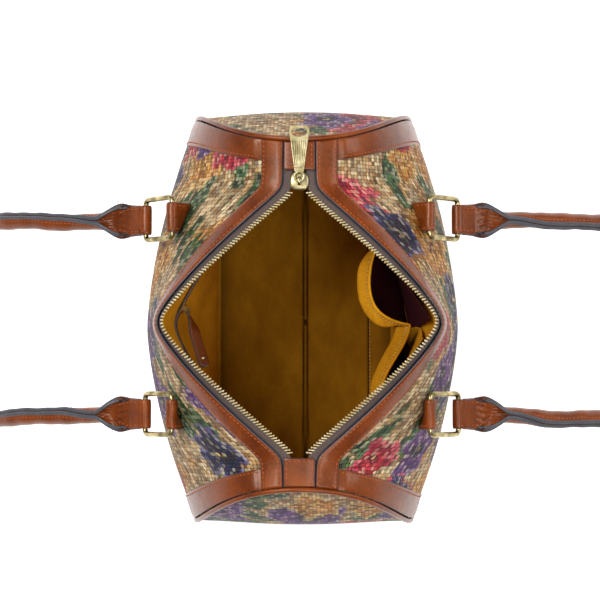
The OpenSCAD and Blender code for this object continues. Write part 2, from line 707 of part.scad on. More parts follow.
// Slip pocket: a suede panel sewn at its sides and foot, gaping at its top edge
module slip_pocket(side) {
  from = pocket_shift + (side * pocket_apart - pocket_w) / 2;
  across = spread(0, 1, 8);
  up = spread(0, 1, 5);
  function depth(u, v) = wall_clear + pocket_gape * v * v * (1 - pow(2 * u - 1, 2));
  function grid(extra) = [for (v = up) [for (u = across)
    inside_wall(from + pocket_w * u, mix(pocket_levels[0], pocket_levels[1], v), depth(u, v) + extra)]];
  color(suede) mirror([0, 1, 0])
    slab(grid(0), grid(lining_t));
}
module right_slip_pocket() { slip_pocket(1); }
module left_slip_pocket() { slip_pocket(-1); }

// Inner pocket: a zip along the back wall, its slider and a leather pull that lies along the wall
inner_bore_r = inner_pin_d / 2 + inner_play;
inner_loop_r = inner_bore_r + inner_loop_wall;
inner_pin_depth = wall_clear + inner_zip_t + layer_gap + inner_plate_t + inner_play + inner_loop_r;
module inner_pocket_zip() {
  half_l = inner_zip_l / 2;
  xs = concat([mouth_mid - half_l], [for (x = lining_xs) if (abs(x - mouth_mid) < half_l - inner_zip_t) x],
              [mouth_mid + half_l]);
  half = inner_zip_w / 2 / norm(lining_wall(0, 1) - lining_wall(0, 0));
  function grid(depth) = [for (level = [inner_zip_level - half, inner_zip_level + half])
    [for (x = xs) inside_wall(x, level, depth)]];
  color(tape_grey)
    slab(grid(wall_clear), grid(wall_clear + inner_zip_t));
}
// Axes at the pin of the pocket slider: along the zip, up the wall and into the bag
inner_pin = inside_wall(inner_slider_x, inner_zip_level, inner_pin_depth);
inner_along = unit(inside_wall(inner_slider_x - 2, inner_zip_level, 0)
                 - inside_wall(inner_slider_x + 2, inner_zip_level, 0));
inner_across = unit(cross(lining_normal(inner_slider_x, inner_zip_level), inner_along));
inner_inward = cross(inner_along, inner_across);
strap_aim = inside_wall(inner_slider_x - strap_l, inner_zip_level, inner_pin_depth + strap_t) - inner_pin;
strap_swing = atan2(strap_aim * inner_inward, strap_aim * inner_along);
module at_inner_pin() {
  multmatrix([for (k = [0:2]) [inner_along[k], inner_across[k], inner_inward[k], inner_pin[k]]])
    children();
}
module inner_pocket_slider() {
  lug_y = inner_lug_gap / 2;
  plate_z = wall_clear + inner_zip_t + layer_gap - inner_pin_depth;
  color(brass) at_inner_pin() {
    translate([-inner_plate_l / 2, -lug_y - inner_plate_t, plate_z])
      cube([inner_plate_l, inner_lug_gap + 2 * inner_plate_t, inner_plate_t]);
    for (y = [-lug_y - inner_plate_t, lug_y])
      translate([-inner_lug_l / 2, y, plate_z])
        cube([inner_lug_l, inner_plate_t, inner_lug_l / 2 - plate_z]);
    rotate([90, 0, 0])
      cylinder(d = inner_pin_d, h = inner_lug_gap + inner_plate_t, center = true);
  }
}
module inner_pocket_pull() {
  loop_w = inner_lug_gap - 2 * inner_play;
  color(leather) at_inner_pin() rotate([0, -strap_swing, 0])
    difference() {
      union() {
        rotate([90, 0, 0])
          cylinder(r = inner_loop_r, h = loop_w, center = true);
        translate([inner_bore_r - layer_gap, -loop_w / 2, -strap_t / 2])
          cube([strap_neck, loop_w, strap_t]);
        translate([strap_neck, -strap_w / 2, -strap_t / 2])
          cube([strap_l - strap_neck, strap_w, strap_t]);
      }
      rotate([90, 0, 0])
        cylinder(r = inner_bore_r, h = loop_w + 2, center = true);
    }
}

front_panel();
back_panel();
base_panel();
base_board();
left_end_panel();
right_end_panel();
left_piping();
right_piping();
front_left_band();
front_right_band();
back_left_band();
back_right_band();
front_zip_binding();
back_zip_binding();
front_zip_tape();
back_zip_tape();
front_zip_teeth();
back_zip_teeth();
zip_slider();
zip_pull();
left_zip_patch();
right_zip_patch();
front_left_tab();
front_right_tab();
back_left_tab();
back_right_tab();
front_left_ring();
front_right_ring();
back_left_ring();
back_right_ring();
front_handle();
back_handle();
lining();
left_slip_pocket();
right_slip_pocket();
inner_pocket_zip();
inner_pocket_slider();
inner_pocket_pull();
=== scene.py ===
"""Looks of the open satchel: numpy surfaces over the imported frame, their finishes, light and camera."""
from __future__ import annotations

import json
import logging
import math
from dataclasses import dataclass, field
from enum import Enum

import bpy
import numpy as np
from mathutils import Matrix, Vector

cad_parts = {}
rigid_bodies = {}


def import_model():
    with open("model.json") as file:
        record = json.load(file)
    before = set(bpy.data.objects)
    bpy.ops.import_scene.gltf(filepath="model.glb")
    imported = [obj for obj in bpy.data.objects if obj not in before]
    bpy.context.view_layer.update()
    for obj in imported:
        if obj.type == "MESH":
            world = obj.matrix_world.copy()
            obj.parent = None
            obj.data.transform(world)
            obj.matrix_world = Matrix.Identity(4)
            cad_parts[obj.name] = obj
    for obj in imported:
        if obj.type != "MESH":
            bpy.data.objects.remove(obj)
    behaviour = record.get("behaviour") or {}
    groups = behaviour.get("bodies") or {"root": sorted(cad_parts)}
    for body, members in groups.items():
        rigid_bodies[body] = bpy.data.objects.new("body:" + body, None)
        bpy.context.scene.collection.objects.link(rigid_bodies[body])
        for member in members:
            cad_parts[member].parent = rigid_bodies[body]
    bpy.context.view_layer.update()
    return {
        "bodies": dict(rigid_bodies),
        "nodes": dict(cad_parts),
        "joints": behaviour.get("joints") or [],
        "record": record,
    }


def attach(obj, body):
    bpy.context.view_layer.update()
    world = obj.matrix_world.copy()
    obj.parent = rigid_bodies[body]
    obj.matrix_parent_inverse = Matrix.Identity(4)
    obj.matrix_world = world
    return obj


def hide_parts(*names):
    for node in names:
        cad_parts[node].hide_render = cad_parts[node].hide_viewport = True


MM = 0.001
TINY = 1e-9
UP = np.array([0.0, 0.0, 1.0])
LOG = logging.getLogger("satchel")
Array = np.ndarray
Number = float | Array
Colour = tuple[float, float, float, float]


class Half(Enum):
    """A half of the bag, by its sign along one axis. Shapes are made for the plus half."""

    @property
    def label(self) -> str:
        """Name of the half as node names spell it."""
        return self.name.lower()


class Side(Half):
    """The two long sides of the bag and their sign along Y."""

    FRONT = -1
    BACK = 1

    def turn(self, surface: Surface) -> Surface:
        """A surface of the back, reflected for the front."""
        return surface if self is Side.BACK else surface.mirrored(1)


class End(Half):
    """The two ends of the bag and their sign along X."""

    LEFT = -1
    RIGHT = 1

    def turn(self, surface: Surface) -> Surface:
        """A surface of the right end, reflected for the left."""
        return surface if self is End.RIGHT else surface.mirrored(0)


def mix(a: Number, b: Number, f: Number) -> Number:
    """Blends a to b by the share f: a + (b - a) * f."""
    return a + (b - a) * f


def ease(f: Number) -> Array:
    """Smooth step: the share f held to 0..1, then 3f squared less 2f cubed."""
    g = np.clip(f, 0.0, 1.0)
    return g * g * (3 - 2 * g)


def unit(v: Array) -> Array:
    """Vectors scaled to length one along the last axis."""
    return v / np.maximum(np.linalg.norm(v, axis=-1, keepdims=True), TINY)


def signed_power(c: Array, power: float) -> Array:
    """Sign of c times its size raised to power, which squares off a circle where power is below one."""
    return np.sign(c) * np.abs(c) ** power


def circle(count: int) -> Array:
    """Angles of a number of points spaced evenly round a circle."""
    return np.arange(count) / count * 2 * math.pi


def together(*values: Number) -> tuple[Array, ...]:
    """Numbers and arrays as float arrays of one shape."""
    return tuple(np.broadcast_arrays(*(np.asarray(v, float) for v in values)))


def stacked(*values: Number) -> Array:
    """Coordinates of any shapes that fit, as points along a new last axis."""
    return np.stack(np.broadcast_arrays(*values), -1)


def left_of(path: Array) -> Array:
    """Unit vectors square to a path of two coordinates: its slope turned by a quarter circle."""
    d = unit(np.gradient(path, axis=0))
    return np.stack([-d[..., 1], d[..., 0]], -1)


def arc_of(path: Array) -> Array:
    """Distances along a path from its start: summed lengths of its steps."""
    return np.concatenate([[0], np.cumsum(np.linalg.norm(np.diff(path, axis=0), axis=1))])


def read(rows: Array, arc: Array, at: Array) -> Array:
    """Each column of rows, known at the distances arc, read straight between samples at other distances."""
    return np.stack([np.interp(at, arc, column) for column in rows.T], -1)


def resampled(path: Array, count: int) -> Array:
    """A path read at a number of even arc distances."""
    arc = arc_of(path)
    return read(path, arc, np.linspace(0, arc[-1], count))


def lookup(table: Array, values: Array, at: Array) -> Array:
    """Reads values at a rising table row by row, straight between samples.

    Args:
        table: Rising samples, shape (n, s).
        values: Values at those samples, shape (s,).
        at: Place to read, shape (n,).

    Returns:
        Values read, shape (n,).
    """
    hi = np.clip((table < at[:, None]).sum(axis=1), 1, table.shape[1] - 1)[:, None]
    a, b = (np.take_along_axis(table, i, 1)[:, 0] for i in (hi - 1, hi))
    share = np.clip((at - a) / np.maximum(b - a, TINY), 0, 1)
    return mix(values[hi[:, 0] - 1], values[hi[:, 0]], share)


@dataclass(frozen=True)
class BagShape:
    """The skin of the bag in millimetres, with the same named sizes as the solids, and the swell of its cloth."""

    end_reach: float = 160.0
    end_top: float = 130.0
    end_foot: float = 155.0
    end_full_z: float = 80.0
    end_dip: float = 3.0
    end_h: float = 195.0
    mouth_h: float = 212.0
    base_half_w: float = 86.0
    base_top: float = 2.05
    mid_low: tuple[float, float] = (128.0, 60.0)
    mid_high: tuple[float, float] = (118.0, 155.0)
    end_low: tuple[float, float] = (92.0, 90.0)
    end_high: tuple[float, float] = (80.0, 193.0)
    fullness_power: float = 2.5
    mouth_half_w: float = 99.0
    mouth_front: float = 92.0
    mouth_back: float = -105.0
    mouth_power: float = 1.125
    mouth_round: float = 0.06
    mouth_ease: float = 0.055
    zip_gap: float = 2.0
    side_limit: float = 127.75
    woven_t: float = 1.6
    leather_t: float = 1.8
    layer_gap: float = 0.25
    tape_show: float = 10.0
    tape_lap: float = 3.0
    binding_w: float = 16.5
    band_w: float = 16.0
    hinge_y: float = 97.9761
    hinge_z: float = 160.0
    ring_x: float = 75.0
    ring_drop: float = math.radians(48)
    ring_l: float = 34.0
    ring_w: float = 31.0
    tab_w: float = 22.6
    strap_t: float = 2.1
    wire_r: float = 2.0
    swell: float = 6.5
    swell_top: float = 156.0
    swell_fade: tuple[float, float] = (50.0, 45.0)
    samples: int = 180

    def mouth_share(self, x: Array) -> Array:
        """Share of the full mouth width: one less the eased distance from mid-mouth raised to a power, held above 0.

        Args:
            x: Places along the rim.

        Returns:
            Shares from 0 at the zip's ends to 1 at mid-mouth.
        """
        mid, half = (self.mouth_front + self.mouth_back) / 2, (self.mouth_front - self.mouth_back) / 2
        r = self.mouth_round
        eased = (np.hypot((x - mid) / half, r) - r) / (math.hypot(1, r) - r)
        share = 1 - eased ** self.mouth_power
        return 0.5 * (share + np.hypot(share, self.mouth_ease))

    def stations(self, limit: float, count: int) -> Array:
        """Places along the rim, even by its arc and closer where its slope turns.

        Args:
            limit: Half-length to cover.
            count: Number of places.

        Returns:
            Rising places.
        """
        x = np.linspace(-limit, limit, 2400)
        share = self.mouth_share(x)
        turn = np.abs(np.gradient(np.gradient(share, x), x))
        arc = np.cumsum(np.hypot(1, np.gradient(share * self.mouth_half_w, x)) + 900 * np.minimum(turn, 0.01))
        return np.interp(np.linspace(arc[0], arc[-1], count), arc, x)

    def rim_run(self, x: Array) -> Array:
        """Distance along the rim in plan: summed steps of X, each times the root of one plus the slope squared."""
        slope = np.gradient(self.mouth_share(x) * self.mouth_half_w, x)
        return np.cumsum(np.hypot(1, slope) * np.gradient(x))

    def section(self, x: Array) -> Array:
        """Four control points of the cross-section in half-width and height, blended by fullness.

        Args:
            x: Places along the rim, shape (...).

        Returns:
            Points of shape (..., 4, 2).
        """
        full = (1 - np.minimum(1, np.abs(x) / self.end_top) ** self.fullness_power)[..., None]
        share = self.mouth_share(x)
        foot = np.broadcast_to(np.array([self.base_half_w, self.base_top]), x.shape + (2,))
        rim = np.stack([self.zip_gap + self.mouth_half_w * share, mix(self.end_h, self.mouth_h, share)], -1)
        low = mix(np.array(self.end_low), np.array(self.mid_low), full)
        high = mix(np.array(self.end_high), np.array(self.mid_high), full)
        return np.stack([foot, low, high, rim], axis=-2)

    @staticmethod
    def curve(p: Array, t: Array) -> Array:
        """Cubic curve: control points p of shape (..., 4, 2) weighted by the powers of t and 1 - t.

        Args:
            p: Control points.
            t: Place on the curve, shape (...).

        Returns:
            Points of shape (..., 2).
        """
        s = 1 - t
        w = np.stack([s ** 3, 3 * t * s * s, 3 * t * t * s, t ** 3], -1)
        return (w[..., None] * p).sum(-2)

    def reach(self, z: Array, top: Number) -> Array:
        """Half-length at a height: falls off from the fullest height by the square of the distance.

        Args:
            z: Heights.
            top: Height of the rim there.

        Returns:
            Half-lengths.
        """
        over = np.clip((z - self.end_full_z) / (top - self.end_full_z), 0, None)
        under = np.clip((self.end_full_z - z) / self.end_full_z, 0, None)
        to_top, to_foot = self.end_reach - self.end_top, self.end_reach - self.end_foot
        return self.end_reach - to_top * over ** 2 - to_foot * under ** 2

    def skin(self, x: Number, t: Number) -> Array:
        """Outer skin of the back: the section at x, drawn along X by the reach at its height.

        Args:
            x: Places along the rim.
            t: 0 at the base to 1 at the teeth.

        Returns:
            Points, shape of x and t together with a last axis of 3.
        """
        x, t = together(x, t)
        p = self.section(x)
        q = self.curve(p, t)
        return np.stack([x / self.end_top * self.reach(q[..., 1], p[..., 3, 1]), q[..., 0], q[..., 1]], -1)

    def normal(self, x: Number, t: Number) -> Array:
        """Outward normal of the skin at x and t: cross product of its slopes along t and x."""
        x, t = together(x, t)
        return unit(np.cross(self.skin(x, t + 0.004) - self.skin(x, t - 0.004),
                             self.skin(x + 0.5, t) - self.skin(x - 0.5, t)))

    def layer(self, x: Number, t: Number, lift: Number) -> Array:
        """Skin at x and t moved along its normal by the distance lift."""
        return self.skin(x, t) + np.asarray(lift, float)[..., None] * self.normal(x, t)

    def from_rim(self, x: Number, d: Number) -> Array:
        """Place t at an arc distance down from the teeth.

        Args:
            x: Places along the rim.
            d: Arc distances, broadcast against x.

        Returns:
            Values of t.
        """
        x, d = together(x, d)
        ts = np.linspace(1, 0.3, self.samples)
        pts = self.curve(self.section(x.ravel())[:, None], ts[None])
        steps = np.linalg.norm(np.diff(pts, axis=1), axis=-1)
        arc = np.concatenate([np.zeros((len(steps), 1)), np.cumsum(steps, axis=1)], axis=1)
        return lookup(arc, ts, d.ravel()).reshape(x.shape)

    def at_height(self, x: Number, z: Number) -> Array:
        """Place t at a height.

        Args:
            x: Places along the rim.
            z: Heights, broadcast against x.

        Returns:
            Values of t.
        """
        x, z = together(x, z)
        ts = np.linspace(0, 1, self.samples)
        pts = self.curve(self.section(x.ravel())[:, None], ts[None])
        return lookup(np.maximum.accumulate(pts[..., 1], axis=1), ts, z.ravel()).reshape(x.shape)

    def puff(self, x: Array, z: Array) -> Array:
        """Swell of the cloth at x and height z: less a power of x towards the ends, eased out to top and base."""
        above, below = self.swell_fade
        along = 1 - np.abs(x / self.end_top) ** self.fullness_power
        return self.swell * along * ease((self.swell_top - z) / above) * ease(z / below)

    def side_point(self, x: Number, z: Number, lift: Number) -> Array:
        """Point of the back at a true X and a height, at the distance lift off the puffed cloth."""
        rim_x = np.asarray(x, float) * self.end_top / self.reach(np.asarray(z, float), self.end_h)
        return self.layer(rim_x, self.at_height(rim_x, z), lift + self.puff(rim_x, z))


SHAPE = BagShape()


def quads(m: int, n: int, wrap_m: bool = False, wrap_n: bool = False) -> Array:
    """Faces of a grid of m rows and n columns, row by row.

    Args:
        m: Rows.
        n: Columns.
        wrap_m: Whether the last row joins the first.
        wrap_n: Whether the last column joins the first.

    Returns:
        Corner numbers, shape (faces, 4).
    """
    j, i = np.meshgrid(np.arange(m if wrap_m else m - 1), np.arange(n if wrap_n else n - 1), indexing="ij")
    j1, i1 = (j + 1) % m, (i + 1) % n
    return np.stack([j * n + i, j * n + i1, j1 * n + i1, j1 * n + i], -1).reshape(-1, 4)


@dataclass
class Surface:
    """Vertices in millimetres with their faces, flat coordinates and named values."""

    verts: Array
    faces: list[Array]
    uv: Array | None = None
    values: dict[str, Array] = field(default_factory=dict)

    @property
    def flat(self) -> Array:
        """Flat coordinates, or X and Y where there are none."""
        return self.verts[:, :2] if self.uv is None else self.uv

    def mirrored(self, axis: int) -> Surface:
        """The surface reflected in the plane across an axis, with its faces turned to match."""
        flip = np.where(np.arange(3) == axis, -1.0, 1.0)
        return Surface(self.verts * flip, [f[:, ::-1] for f in self.faces], self.uv, self.values)

    @staticmethod
    def joined(parts: list[Surface]) -> Surface:
        """Several surfaces as one, with missing named values filled by zero.

        Args:
            parts: Surfaces.

        Returns:
            New surface.
        """
        starts = np.cumsum([0] + [len(p.verts) for p in parts])
        keys = {k for p in parts for k in p.values}
        values = {k: np.concatenate([p.values.get(k, np.zeros(len(p.verts))) for p in parts]) for k in keys}
        faces = [f + s for p, s in zip(parts, starts) for f in p.faces]
        return Surface(np.concatenate([p.verts for p in parts]), faces, np.concatenate([p.flat for p in parts]), values)

    def build(self, name: str, material: bpy.types.Material) -> bpy.types.Object:
        """Makes the mesh object, smooth, at the origin.

        Args:
            name: Object name.
            material: Its one finish.

        Returns:
            The linked object.
        """
        counts = np.concatenate([np.full(len(f), f.shape[1]) for f in self.faces])
        corners = np.concatenate([f.ravel() for f in self.faces]).astype(np.int32)
        mesh = bpy.data.meshes.new(name)
        mesh.vertices.add(len(self.verts))
        mesh.vertices.foreach_set("co", (self.verts * MM).astype(np.float32).ravel())
        mesh.loops.add(len(corners))
        mesh.loops.foreach_set("vertex_index", corners)
        mesh.polygons.add(len(counts))
        mesh.polygons.foreach_set("loop_start", (np.cumsum(counts) - counts).astype(np.int32))
        mesh.polygons.foreach_set("use_smooth", np.ones(len(counts), bool))
        layer = mesh.uv_layers.new(name="flat")
        layer.data.foreach_set("uv", (self.flat[corners] * MM).astype(np.float32).ravel())
        for key, value in self.values.items():
            mesh.attributes.new(key, "FLOAT", "POINT").data.foreach_set("value", value.astype(np.float32).ravel())
        mesh.update(calc_edges=True)
        mesh.materials.append(material)
        obj = bpy.data.objects.new(name, mesh)
        bpy.context.scene.collection.objects.link(obj)
        return obj


def shell(outer: Array, inner: Array, uv: Array | None = None, values: dict[str, Array] | None = None) -> Surface:
    """Closed sheet: an outer and an inner grid joined all round by a rim.

    Args:
        outer: Grid of points, shape (m, n, 3), with its faces turned outwards.
        inner: Grid of the same shape on the other face.
        uv: Flat coordinates of the grid, shape (m, n, 2).
        values: Named values of the grid, each of shape (m, n).

    Returns:
        Surface.
    """
    m, n = outer.shape[:2]
    row = np.arange(m - 1)
    mate = 2 * m - 1 - row
    start = np.stack([row * n, (row + 1) * n, (mate - 1) * n, mate * n], -1)
    end = (start + n - 1)[:, ::-1]
    there_and_back = lambda grid: np.concatenate([grid, grid[::-1]])
    flat = None if uv is None else there_and_back(uv).reshape(-1, 2)
    both = {k: there_and_back(v).ravel() for k, v in (values or {}).items()}
    verts = np.concatenate([outer, inner[::-1]]).reshape(-1, 3)
    return Surface(verts, [quads(2 * m, n, wrap_m=True), start, end], flat, both)


def sweep(rings: Array, closed: bool = False, values: dict[str, Array] | None = None,
          uv: Array | None = None) -> Surface:
    """Skin through rings of points, closed round each ring and capped or joined at the ends.

    Args:
        rings: Points, shape (m, k, 3).
        closed: Whether the last ring joins the first.
        values: Named values, each of shape (m, k) or spread to it.
        uv: Flat coordinates, shape (m, k, 2).

    Returns:
        Surface.
    """
    m, k = rings.shape[:2]
    faces = [quads(m, k, wrap_m=closed, wrap_n=True)]
    if not closed:
        faces += [np.arange(k)[None, ::-1], (np.arange(k) + (m - 1) * k)[None]]
    flat = None if uv is None else uv.reshape(-1, 2)
    spread = {n: np.broadcast_to(v, (m, k)).ravel() for n, v in (values or {}).items()}
    return Surface(rings.reshape(-1, 3), faces, flat, spread)


def cord(path: Array, along: Array, square_to: Array, radius: float, count: int, stretch: float = 1.0) -> Surface:
    """A round cord: circles about a path, in the plane of two vectors square to it.

    Args:
        path: Its middle line, shape (n, 3).
        along: Directions along it.
        square_to: Vector that the first of the two is square to.
        radius: Its radius.
        count: Points round it.
        stretch: Size along the second vector, below 0 to turn its faces.

    Returns:
        Surface.
    """
    a = unit(np.cross(along, square_to))
    b = np.cross(along, a)
    g = circle(count)[:, None]
    return sweep(path[:, None] + radius * (np.cos(g) * a[:, None] + stretch * np.sin(g) * b[:, None]))


def copies(template: Surface, origins: Array, axes: Array) -> Surface:
    """A small surface repeated: each vertex is an origin plus its coordinates times that copy's axes.

    Args:
        template: Surface to repeat.
        origins: Places, shape (n, 3).
        axes: Rows along, across and out of each copy, shape (n, 3, 3).

    Returns:
        One surface of all copies.
    """
    n, k = len(origins), len(template.verts)
    verts = origins[:, None] + np.einsum("vk,nkc->nvc", template.verts, axes)
    shift = (np.arange(n) * k)[:, None, None]
    return Surface(verts.reshape(-1, 3), [(f[None] + shift).reshape(-1, f.shape[1]) for f in template.faces])


def strip_profile(corner: float = 0.34, count: int = 32) -> tuple[Array, Array, Array]:
    """Closed profile of a leather strip: a squared-off ellipse, with its painted share near both edges.

    Args:
        corner: Exponent of the squaring; small values give tight corners.
        count: Points round the profile.

    Returns:
        Across from -1 to 1, height from 0 to 1, and paint share, each of shape (count,).
    """
    a = circle(count) + math.pi / count
    across = signed_power(np.cos(a), corner)
    height = 0.5 + 0.5 * signed_power(np.sin(a), 0.6)
    return across, height, ease((np.abs(across) - 0.955) / 0.035)


def strap(path: Array, half_w: Number, thick: float) -> tuple[Array, Array, Array]:
    """Rings of a flat strap in its own plane: the strip's profile set square to a path.

    Args:
        path: Middle line in two coordinates, shape (m, 2).
        half_w: Half-width along the third coordinate, number or shape (m,).
        thick: Thickness.

    Returns:
        Third coordinate, the two path coordinates, and paint share, with shapes (m, k), (m, k, 2) and (m, k).
    """
    across, height, paint = strip_profile(0.3)
    wide = np.broadcast_to(np.asarray(half_w, float), (len(path),))[:, None] * across[None]
    flat = path[:, None] + left_of(path)[:, None] * ((height - 0.5) * thick)[None, :, None]
    return wide, flat, np.broadcast_to(paint, wide.shape)


def pill(length: float, width: float, height: float) -> Surface:
    """A stitch: rings of six points that swell along its length by the root of a half sine.

    Args:
        length: Along the seam.
        width: Across the seam.
        height: Out of the leather.

    Returns:
        Surface centred on its origin.
    """
    s = np.linspace(0.02, 0.98, 7)[:, None]
    g = circle(6)
    swell = np.sqrt(np.sin(math.pi * s))
    dip = 0.45 * np.sin(math.pi * s) - 0.35
    return sweep(stacked((s - 0.5) * length, swell * width / 2 * np.cos(g), height * (swell * 0.5 * np.sin(g) + dip)))


STITCH = pill(2.7, 0.85, 0.8)


def stitches(path: Array, out: Array, pitch: float = 3.4) -> Surface:
    """Stitches at even arc distances along a path, each turned along it with its back in the leather.

    Args:
        path: Points of the seam, shape (n, 3).
        out: Directions out of the leather, shape (n, 3) or one for all.
        pitch: Distance from one stitch to the next.

    Returns:
        Surface.
    """
    arc = arc_of(path)
    count = max(2, int(arc[-1] / pitch))
    at = (np.arange(count) + 0.5) / count * arc[-1]
    along = unit(read(path, arc, at + 0.4) - read(path, arc, at - 0.4))
    normal = read(np.broadcast_to(out, path.shape), arc, at)
    normal = unit(normal - (normal * along).sum(-1, keepdims=True) * along)
    skew = unit(along + 0.1 * np.cross(normal, along))
    return copies(STITCH, read(path, arc, at), np.stack([skew, np.cross(normal, skew), normal], 1))


def srgb(r: float, g: float, b: float) -> Colour:
    """Linear colour, with an alpha of one, of an 8-bit display colour."""
    to = lambda c: (c / 255 / 12.92) if c < 10.3 else ((c / 255 + 0.055) / 1.055) ** 2.4
    return (to(r), to(g), to(b), 1.0)


def shade(colour: Colour, share: float) -> Colour:
    """A colour darkened to a share of its light."""
    return tuple(c * share for c in colour[:3]) + (1.0,)


class Value:
    """One output of a shader tree, which sums, products and powers turn into more nodes."""

    def __init__(self, graph: Graph, socket: bpy.types.NodeSocket) -> None:
        """Wraps an output socket of a tree."""
        self.graph, self.socket = graph, socket

    def out(self, key: int | str) -> Value:
        """Another output of the same node."""
        return Value(self.graph, self.socket.node.outputs[key])

    def math(self, operation: str, *others: Value | float) -> Value:
        """Any math node with this value first."""
        return self.graph.node("Math", {"operation": operation}, dict(enumerate((self, *others))))

    def flipped(self, operation: str, other: float) -> Value:
        """Any math node with this value second."""
        return self.graph.node("Math", {"operation": operation}, {0: other, 1: self})

    def __add__(self, other: Value | float) -> Value:
        """This plus other."""
        return self.math("ADD", other)

    def __sub__(self, other: Value | float) -> Value:
        """This less other."""
        return self.math("SUBTRACT", other)

    def __mul__(self, other: Value | float) -> Value:
        """This times other."""
        return self.math("MULTIPLY", other)

    def __truediv__(self, other: Value | float) -> Value:
        """This over other."""
        return self.math("DIVIDE", other)

    def __pow__(self, other: Value | float) -> Value:
        """This raised to other."""
        return self.math("POWER", other)

    def __rsub__(self, other: float) -> Value:
        """Other less this."""
        return self.flipped("SUBTRACT", other)

    def __rtruediv__(self, other: float) -> Value:
        """Other over this."""
        return self.flipped("DIVIDE", other)

    __radd__ = __add__
    __rmul__ = __mul__

    def step(self, low: float, high: float) -> Value:
        """Smooth step from 0 at low to 1 at high."""
        return self.graph.node("MapRange", {"interpolation_type": "SMOOTHSTEP"}, {0: self, 1: low, 2: high})


Display = tuple[int, int, int]
Stops = tuple[tuple[float, Display], ...]


class Graph:
    """One material's node tree with a single Principled shader."""

    def __init__(self, name: str, **constants: float | tuple) -> None:
        """Makes the material.

        Args:
            name: Material name.
            constants: Constant shader inputs, with underscores for spaces.
        """
        self.material = bpy.data.materials.new(name)
        self.material.use_nodes = True
        self.tree = self.material.node_tree
        self.shader = next(n for n in self.tree.nodes if n.type == "BSDF_PRINCIPLED")
        for key, value in constants.items():
            self.shader.inputs[key.replace("_", " ")].default_value = value

    def node(self, kind: str, settings: dict | None = None, inputs: dict | None = None, out: int | str = 0) -> Value:
        """Makes any shader node.

        Args:
            kind: Node type without its ShaderNode prefix.
            settings: Properties of the node.
            inputs: Socket name or number to a value, number or colour.
            out: Socket name or number of the output to return.

        Returns:
            That output.
        """
        made = self.tree.nodes.new("ShaderNode" + kind)
        for key, value in (settings or {}).items():
            setattr(made, key, value)
        for key, value in (inputs or {}).items():
            if isinstance(value, Value):
                self.tree.links.new(value.socket, made.inputs[key])
            else:
                made.inputs[key].default_value = value
        return Value(self, made.outputs[out])

    def feed(self, **inputs: Value) -> None:
        """Links values to shader inputs, named with underscores for spaces."""
        for key, value in inputs.items():
            self.tree.links.new(value.socket, self.shader.inputs[key.replace("_", " ")])

    def place(self) -> Value:
        """Object coordinates."""
        return self.node("TexCoord", out="Object")

    def flat(self) -> Value:
        """Flat coordinates of the mesh."""
        return self.node("UVMap", {"uv_map": "flat"})

    def attribute(self, name: str) -> Value:
        """A named value of the mesh."""
        return self.node("Attribute", {"attribute_name": name}, out="Fac")

    def noise(self, at: Value, scale: float, detail: float = 3.0, rough: float = 0.55) -> Value:
        """Fractal noise about 0.5: features per metre, octaves and the weight of the finer ones."""
        return self.node("TexNoise", None, {"Vector": at, "Scale": scale, "Detail": detail, "Roughness": rough})

    def blend(self, factor: Value | float, a: Value | Colour, b: Value | Colour) -> Value:
        """Mixes the colour or vector a with the share factor of b."""
        return self.node("Mix", {"data_type": "RGBA"}, {0: factor, 6: a, 7: b}, out=2)

    def coats(self, colour: Value, *layers: tuple[Value, Display]) -> Value:
        """Display colours laid over a colour one after another, each by its share."""
        for share, tint in layers:
            colour = self.blend(share, colour, srgb(*tint))
        return colour

    def ramp(self, factor: Value, stops: Stops) -> Value:
        """Colours along a value, each held until the next.

        Args:
            factor: Value from 0 to 1.
            stops: Places and display colours.

        Returns:
            Colour.
        """
        made = self.node("ValToRGB", None, {0: factor})
        ramp = made.socket.node.color_ramp
        ramp.interpolation = "CONSTANT"
        while len(ramp.elements) < len(stops):
            ramp.elements.new(0.5)
        for element, (place, colour) in zip(ramp.elements, stops):
            element.position, element.color = place, srgb(*colour)
        return made

    def bump(self, height: Value, distance: float, strength: float = 1.0, under: Value | None = None) -> Value:
        """Bumped normal.

        Args:
            height: Height from 0 to 1.
            distance: Metres of that height.
            strength: Weight.
            under: Normal to build on.

        Returns:
            Normal.
        """
        inputs = {"Height": height, "Distance": distance, "Strength": strength}
        if under is not None:
            inputs["Normal"] = under
        return self.node("Bump", None, inputs)


@dataclass(frozen=True)
class LeatherFinish:
    """Oiled leather with grain, rubbed tone and painted cut edges."""

    name: str
    pale: Colour
    deep: Colour
    edge: Colour = srgb(58, 62, 72)
    worn_edge: Colour = srgb(92, 96, 104)
    roughness: float = 0.36
    coat: float = 0.26

    def make(self) -> bpy.types.Material:
        """Builds the material: tone from two noises, painted shade from the mesh's crease value, edge paint from the
        mesh, grain from cells and noise.

        Returns:
            Material.
        """
        g = Graph(self.name, Coat_Weight=self.coat, Coat_Roughness=0.16, Specular_IOR_Level=0.45,
                  Specular_Tint=(1.0, 0.7, 0.48, 1.0))
        at = g.place()
        tone = g.noise(at, 38, 4) * 0.75 + g.noise(at, 420, 3) * 0.35
        paint = g.attribute("edge")
        colour = g.blend(tone.step(0.3, 0.85), self.deep, self.pale)
        # Painted shade: the mesh's crease value darkens the leather toward a deep brown in the handle's pleats and in
        # the groove of its seam.
        colour = g.blend(g.attribute("crease") * 0.75, colour, shade(self.deep, 0.28))
        g.feed(Base_Color=g.blend(paint, colour, g.blend(g.noise(at, 300), self.edge, self.worn_edge)))
        g.feed(Roughness=paint * 0.248 + g.noise(at, 160) * 0.22 + (self.roughness - 0.11))
        cells = g.node("TexVoronoi", {"feature": "DISTANCE_TO_EDGE"}, {"Vector": at, "Scale": 900.0})
        grain = g.bump(cells.step(0.0, 0.35), 0.00012, 0.5)
        g.feed(Normal=g.bump(g.noise(at, 70, 3), 0.0012, 0.35, grain))
        return g.material


